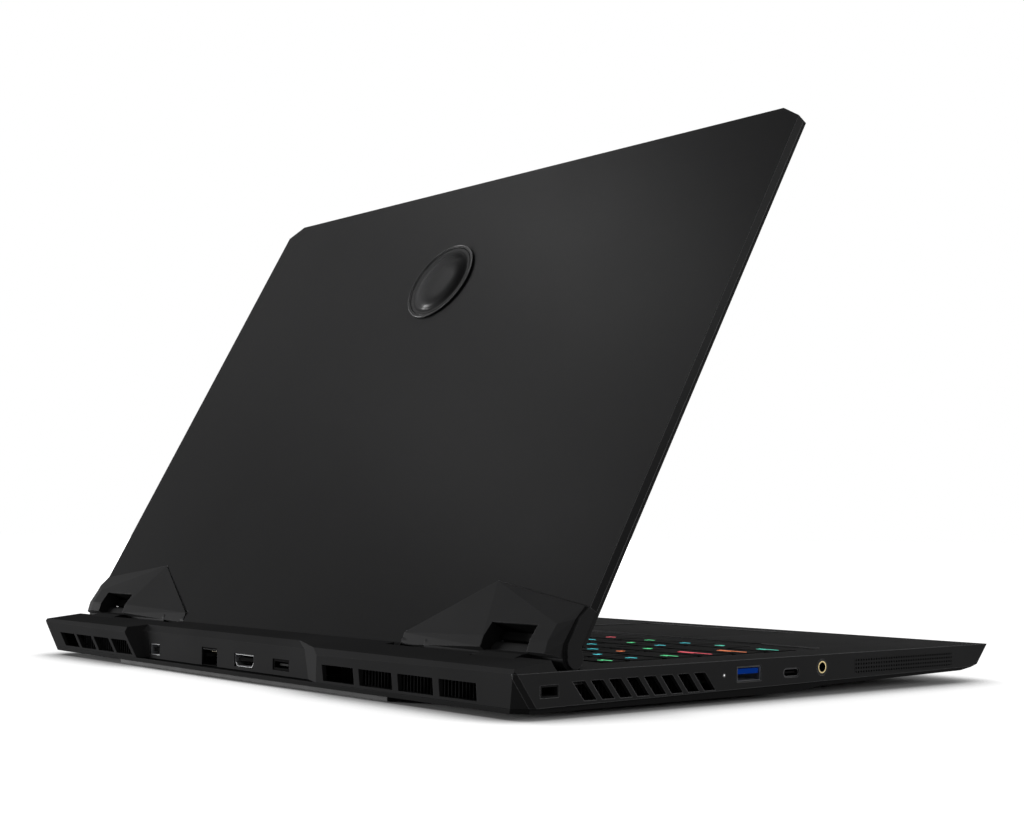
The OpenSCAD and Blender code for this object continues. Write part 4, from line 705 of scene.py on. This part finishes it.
def punched_plate(x, y0, y1, z0, z1):
    """Builder of a plate across X with a grid of round holes."""
    half_y, half_z = (y1 - y0) / HOLE_COLUMNS / 2, (z1 - z0) / HOLE_ROWS / 2

    def build(shape):
        for i in range(HOLE_COLUMNS):
            for k in range(HOLE_ROWS):
                cy, cz = y0 + (2 * i + 1) * half_y, z0 + (2 * k + 1) * half_z
                square, ring = [], []
                for corner in range(8):
                    c, s = math.cos(math.pi / 4 * corner), math.sin(math.pi / 4 * corner)
                    reach = max(abs(c), abs(s))
                    square.append(shape.verts.new(
                        (x, cy + half_y * c / reach, cz + half_z * s / reach)))
                    ring.append(shape.verts.new((x, cy + HOLE_RADIUS * c, cz + HOLE_RADIUS * s)))
                for corner in range(8):
                    after = (corner + 1) % 8
                    shape.faces.new((square[corner], square[after], ring[after], ring[corner]))
        bmesh.ops.remove_doubles(shape, verts=shape.verts, dist=1e-6)
        thicken(shape, Vector((-math.copysign(PLATE_SHEET, x), 0, 0)))
    return build


mesh_low, mesh_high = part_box("speaker_grilles")
for side, sign in (("left", -1), ("right", 1)):
    plate_piece = new_piece("speaker_mesh_" + side, punched_plate(
        sign * (mesh_high[0] + PLATE_PROUD),
        mesh_low[1] - PLATE_OVER_Y, mesh_high[1] + PLATE_OVER_Y,
        mesh_low[2] - PLATE_OVER_Z, mesh_high[2] + PLATE_OVER_Z),
        [finishes["grille_steel"][0]], "base")
    if sign < 0:
        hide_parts("speaker_grilles")
print("speaker plates", 2 * HOLE_COLUMNS * HOLE_ROWS, "holes")

# %% [markdown]
# ## The round badge
#
# The lid carries a plain round badge in a raised rim: a shallow dish of dark enamel with a
# polished bead round it. Both are turned shapes, so one helper spins a profile of radius and
# height about the badge's axis, as a lathe does. A texture of rings would not catch the light
# along its bead as this does.

# %% Places on the lid, and turned shapes
LID_OPEN = math.radians(60)
HINGE = Vector((0, 0.1053, 0.020))
TURNED_SIDES = 96


def on_lid(x, up, out):
    """The place, in metres, x across, up from the hinge axis along the lid and out from it."""
    return HINGE + Vector((x, -up * math.cos(LID_OPEN) + out * math.sin(LID_OPEN),
        up * math.sin(LID_OPEN) + out * math.cos(LID_OPEN)))


def turned(x, up, profile):
    """Builder of a shape turned about an axis square to the lid. profile: (radius, out) in mm."""
    turns = [2 * math.pi * k / TURNED_SIDES for k in range(TURNED_SIDES)]

    def build(shape):
        rings = []
        for radius, out in profile:
            if radius == 0:
                rings.append([shape.verts.new(on_lid(x, up, out * MM))])
            else:
                rings.append([shape.verts.new(on_lid(x + radius * MM * math.cos(turn),
                    up + radius * MM * math.sin(turn), out * MM)) for turn in turns])
        for lower, upper in zip(rings, rings[1:]):
            for k in range(TURNED_SIDES):
                j = (k + 1) % TURNED_SIDES
                tip = (upper[0],) if len(upper) == 1 else (upper[j], upper[k])
                shape.faces.new((lower[k], lower[j], *tip))
        if profile[0] != profile[-1]:
            shape.faces.new(rings[0][::-1])
        bmesh.ops.remove_doubles(shape, verts=shape.verts, dist=1e-7)
    return build


print("a point on the lid", [round(v, 3) for v in on_lid(0, 0.1, 0)])


# %% Turn the badge
BADGE_X, BADGE_UP = 0.009, 0.1795
BEAD_RADIUS, BEAD_OUT, BEAD_WIDE, BEAD_HIGH, BEAD_STEPS = 19.95, 3.8, 0.35, 0.3, 12
enamel = moulded("badge dish enamel", (0.011, 0.011, 0.0112), 0.34, 0.0004, gloss=0.012)
bead_steel = moulded("badge bead", (0.03, 0.03, 0.0305), 0.22, 0.0004, gloss=0.05,
    edge_highlight_tone=1.5)
dish = [(18.7, 3.46), (18.7, 3.62), (18.3, 3.74), (17.7, 3.7), (17.1, 3.58), (15.0, 3.52),
    (10.0, 3.58), (5.0, 3.62), (0, 3.64)]
new_piece("badge_dish", turned(BADGE_X, BADGE_UP, dish), [enamel], "lid", True)
bead_turns = [2 * math.pi * k / BEAD_STEPS for k in range(BEAD_STEPS)]
bead = [(BEAD_RADIUS + BEAD_WIDE * math.cos(turn), BEAD_OUT + BEAD_HIGH * math.sin(turn))
    for turn in bead_turns]
new_piece("badge_bead", turned(BADGE_X, BADGE_UP, bead + bead[:1]), [bead_steel], "lid",
    True)
print("badge turned", len(dish), "steps and a bead")

# %% [markdown]
# ## Linings
#
# Behind each slot in a hinge cover lies a dark pan that hides the works, and behind the lock
# slot a black pocket. Their black is darker than any plastic of the laptop, so it is also
# painted shade for the inside of the slots. A pan is a bent strip, so it is drawn from the side
# as a path and thickened. The pocket is put together from thin walls. A dark patch of paint
# would do for this view, but from close by a slot without depth looks printed. The pans turn
# with the lid.

# %% Fold the linings
def box_walls(low, high, open_faces, sheet):
    """Builder of a folded box of thin sheet, open at the named faces (x0 x1 y0 y1 z0 z1)."""
    def build(shape):
        for axis in range(3):
            for end in (0, 1):
                if "xyz"[axis] + str(end) in open_faces:
                    continue
                lo, hi = list(low), list(high)
                if end:
                    lo[axis] = hi[axis] - sheet
                else:
                    hi[axis] = lo[axis] + sheet
                made = bmesh.ops.create_cube(shape, size=1)["verts"]
                middle = [(a + b) / 2 for a, b in zip(lo, hi)]
                span = [b - a for a, b in zip(lo, hi)]
                for vertex in made:
                    vertex.co = Vector(vertex.co[i] * span[i] + middle[i] for i in range(3))
    return build


# Darker than any plastic here: painted shade inside the slots.
lining_painted_shade = moulded("lining black, painted shade", (0.004, 0.004, 0.004), 0.8, gloss=0.0, edge_highlight_tone=1.2)
SLOT_IN, SLOT_OUT, SLOT_GAP = 0.1365, 0.1615, 0.1 * MM
PAN_PATH = [(0.0081, 0.0062), (0.0081, -0.0009), (0.0039, -0.0013), (0.0012, -0.0042),
    (-0.002, -0.0044)]
POCKET_INSET, POCKET_DEPTH, POCKET_SHEET = 0.4 * MM, 4 * MM, 0.3 * MM
for side, sign in (("left", -1), ("right", 1)):
    def pan(shape, sign=sign):
        ends = (sign * (SLOT_IN + SLOT_GAP), sign * (SLOT_OUT - SLOT_GAP))
        rows = [[shape.verts.new(on_lid(x, up, out)) for x in ends] for up, out in PAN_PATH]
        for a, b in zip(rows, rows[1:]):
            shape.faces.new((a[0], a[1], b[1], b[0]))
        thicken(shape, on_lid(0, 0.00015, -0.0002) - on_lid(0, 0, 0))
    new_piece("hinge_slot_pan_" + side, pan, [lining_painted_shade], "lid")
lock_low, lock_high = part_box("lock_slot_plate")
new_piece("lock_pocket", box_walls(
    (lock_high[0] - 0.1 * MM, lock_low[1] + POCKET_INSET, lock_low[2] + POCKET_INSET),
    (lock_high[0] + POCKET_DEPTH, lock_high[1] - POCKET_INSET, lock_high[2] - POCKET_INSET),
    ["x0"], POCKET_SHEET), [lining_painted_shade], "base")
print("two pans and a pocket of", POCKET_DEPTH / MM, "mm")

# %% [markdown]
# ## Inside the network socket
#
# A network socket shows eight gilt wires that slope inwards, a spring at its side and the lip
# of its shield. They are what tells this opening from an empty hole, and each is only a few
# slabs. The wires are spaced by the plug's own pitch of 1.02 mm. The wires are coloured a tenth
# as bright as the jack's gilt and the shield parts a dark grey, painted shade for the inside of
# the socket.

# %% Bend the socket's parts
WIRES, WIRE_PITCH, WIRE_THICK = 8, 1.02 * MM, 0.2 * MM
WIRE_PATH = [(-0.0022, 0.0016), (-0.0060, 0.0040), (-0.0105, 0.0052)]
net_low, net_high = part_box("ethernet_socket")


def net_wires(shape):
    """Wires that slope down from the socket's roof at the mouth. WIRE_PATH: (inward, down)."""
    for i in range(WIRES):
        x = (net_low[0] + net_high[0]) / 2 + (i - (WIRES - 1) / 2) * WIRE_PITCH
        for start, stop in zip(WIRE_PATH, WIRE_PATH[1:]):
            slab(shape, [(x + half * WIRE_THICK, net_high[1] + inward, net_high[2] - down)
                for half, (inward, down) in ((-1, start), (1, start), (1, stop), (-1, stop))],
                WIRE_THICK)


# Gilt and shield steel darkened well below their metals: painted shade inside the socket.
wire_gilt_shaded = metal("network wire gilt, painted shade", (0.05, 0.042, 0.026), 0.45, (1, 0.05, 1))
shield_shaded = moulded("socket shield grey, painted shade", (0.045, 0.045, 0.046), 0.45, gloss=0.01,
    edge_highlight_tone=1.5)
new_piece("network_wires", net_wires, [wire_gilt_shaded], "base")
new_piece("network_side_spring", box_walls(
    (net_high[0] - 0.0009, net_high[1] - 0.006, net_low[2] + 0.0034),
    (net_high[0] - 0.00045, net_high[1] - 0.0012, net_low[2] + 0.0052), [], 0.0002),
    [shield_shaded], "base")
new_piece("network_shield_lip", box_walls(
    (net_low[0] + 0.0005, net_high[1] - 0.0006, net_high[2] - 0.0008),
    (net_high[0] - 0.0005, net_high[1] + 0.0001, net_high[2] - 0.00045), [], 0.0001),
    [shield_shaded], "base")
print("network socket", WIRES, "wires, a spring and a lip")

# %% [markdown]
# ## The recess's painted highlight
#
# The shallow recess round the keyboard ends in front in two slanting corners, and light from
# behind catches their front wall. That highlight is painted, as a pale strip standing on each
# wall. From this height a level strip would vanish, so each is an upright one: a third of a
# millimetre high at its inner end and twice that at its outer end.

# %% Stand the bright edge strips
EDGE_FROM, EDGE_TO, EDGE_Y, DECK_Z = 0.124, 0.1551, -0.051575, 0.016
EDGE_LOW_FROM, EDGE_LOW_TO, EDGE_SHEET = 0.0003, 0.00059, 0.00012
# A pale colour for the strips: a painted highlight.
painted_edge_highlight = moulded("painted edge highlight", (0.19, 0.19, 0.192), 0.45, 0.0003, gloss=0.0,
    edge_highlight_tone=1.3)
for side, sign in (("left", -1), ("right", 1)):
    def strip(shape, sign=sign):
        corners = [(EDGE_FROM, DECK_Z - EDGE_LOW_FROM), (EDGE_TO, DECK_Z - EDGE_LOW_TO),
            (EDGE_TO, DECK_Z), (EDGE_FROM, DECK_Z)]
        shape.faces.new([shape.verts.new((sign * x, EDGE_Y, z)) for x, z in corners])
        thicken(shape, Vector((0, -EDGE_SHEET, 0)))
    new_piece("recess_edge_" + side, strip, [painted_edge_highlight], "base")
print("edge strips", round((EDGE_TO - EDGE_FROM) / MM, 1), "mm long")

# %% [markdown]
# ## The floor
#
# The laptop stands on a white studio sweep. White paper under a black object would either be
# overexposed or look grey, so what the eye sees of it is paper plus a glow. The glow is held
# back where the laptop shuts out the sky, which paints a contact shadow over the shadow that
# the lamps cast on the paper. Other light rays find plain grey paper, so the floor sends no
# glare up at the walls.

# %% The studio floor
FLOOR_RINGS, FLOOR_SIDES, FLOOR_Z = (0.3, 0.7, 1.2, 2.0, 3.5, 6.0, 10.0), 48, -0.1 * MM


def sweep(shape):
    """A round floor in rings, finer near the laptop, level to its edge."""
    last = None
    for radius in FLOOR_RINGS:
        ring = [shape.verts.new((radius * math.cos(2 * math.pi * k / FLOOR_SIDES),
            radius * math.sin(2 * math.pi * k / FLOOR_SIDES), FLOOR_Z))
            for k in range(FLOOR_SIDES)]
        if last is None:
            shape.faces.new(ring)
        else:
            for k in range(FLOOR_SIDES):
                j = (k + 1) % FLOOR_SIDES
                shape.faces.new((last[k], last[j], ring[j], ring[k]))
        last = ring


def seen_by_eye(finish):
    """1 where a camera, glossy or transmission ray looks, else 0."""
    camera_ray, glossy_ray, clear_ray = (finish.node("ShaderNodeLightPath", out=kind)
        for kind in ("Is Camera Ray", "Is Glossy Ray", "Is Transmission Ray"))
    return (camera_ray + glossy_ray + clear_ray).clamped()


def grey(level):
    return (level, level, level)


paper = Finish("studio paper")
grain = paper.noise(0.002, 3)
lit = paper.node("ShaderNodeBsdfDiffuse", None,
    {"Color": paper.mixed(grey(0.48), grey(0.52), grain)})
shown = paper.node("ShaderNodeBsdfDiffuse", None,
    {"Color": paper.mixed(grey(0.36), grey(0.40), grain)})
open_sky = paper.node("ShaderNodeAmbientOcclusion", {"samples": 8}, {"Distance": 0.05}, out="AO")
# The glow fades where the laptop shuts out the sky: a painted contact shadow.
glow_with_painted_shadow = ((open_sky * 1.3 - 0.15).clamped() ** 2.0) * 0.9
far_glow = ((paper.length(paper.place) - 0.5) * 0.5).clamped()
glow = paper.node("ShaderNodeEmission", None,
    {"Color": (1, 1, 1, 1), "Strength": glow_with_painted_shadow + far_glow})
both = paper.node("ShaderNodeAddShader", None, {0: shown, 1: glow})
paper.end(paper.node("ShaderNodeMixShader", None, {0: seen_by_eye(paper), 1: lit, 2: both}))

floor_shape = bmesh.new()
sweep(floor_shape)
floor_mesh = bpy.data.meshes.new("studio_floor")
floor_shape.to_mesh(floor_mesh)
floor_shape.free()
floor_mesh.materials.append(paper.material)
floor = bpy.data.objects.new("studio_floor", floor_mesh)
bpy.context.scene.collection.objects.link(floor)
print("floor", FLOOR_RINGS[-1] * 2, "m across")

# %% [markdown]
# ## The sky
#
# The sky is white wherever the camera or a reflection sees it, and gives a softer level of
# light to surfaces. One level for both would either grey the background or wash out the black.

# %% Hang the sky
world = bpy.data.worlds.new("studio_sky")
bpy.context.scene.world = world
sky = Finish("studio_sky", world)
white = sky.node("ShaderNodeBackground", None, {"Color": (1, 1, 1, 1), "Strength": 1.0})
soft = sky.node("ShaderNodeBackground", None, {"Color": (1, 1, 1, 1), "Strength": 0.25})
sky.end(sky.node("ShaderNodeMixShader", None, {0: seen_by_eye(sky), 1: soft, 2: white}),
    "ShaderNodeOutputWorld")
print("sky: white to the eye, a quarter of that to surfaces")

# %% [markdown]
# ## The softboxes
#
# Four softboxes add shape. Two small ones stand four metres away beyond the lid, one high and
# one lower, and their mirror images in the satin sheet, blurred by its roughness, make it
# lighter at its upper middle. One behind, low and wide, lights the rear wall, and one at the
# left lights the side wall with the sockets. One broad lamp would be simpler, but the lid
# would then be the same grey all over.

# %% Place the softboxes
def softbox(name, place, target, size, power):
    light = bpy.data.lights.new(name, "AREA")
    light.shape = "RECTANGLE"
    light.size, light.size_y = size
    light.energy = power
    box = bpy.data.objects.new(name, light)
    bpy.context.scene.collection.objects.link(box)
    box.location = place
    box.rotation_euler = (Vector(target) - Vector(place)).to_track_quat("-Z", "Y").to_euler()
    box.visible_camera = False


LID_MIDDLE = (0, 0.05, 0.12)
softbox("softbox_beyond_high", (2.766, 0.843, 2.899), LID_MIDDLE, (0.5, 0.5), 19.4)
softbox("softbox_beyond_low", (2.956, 1.366, 2.471), LID_MIDDLE, (0.5, 0.5), 16.8)
softbox("softbox_behind", (1.75, 1.05, 0.12), (0, 0.1, 0.02), (0.8, 0.2), 80)
softbox("softbox_left", (-1.6, -1.2, 0.5), (-0.18, 0, 0.0), (0.9, 0.5), 24)
print("stage: floor, sky and four softboxes")
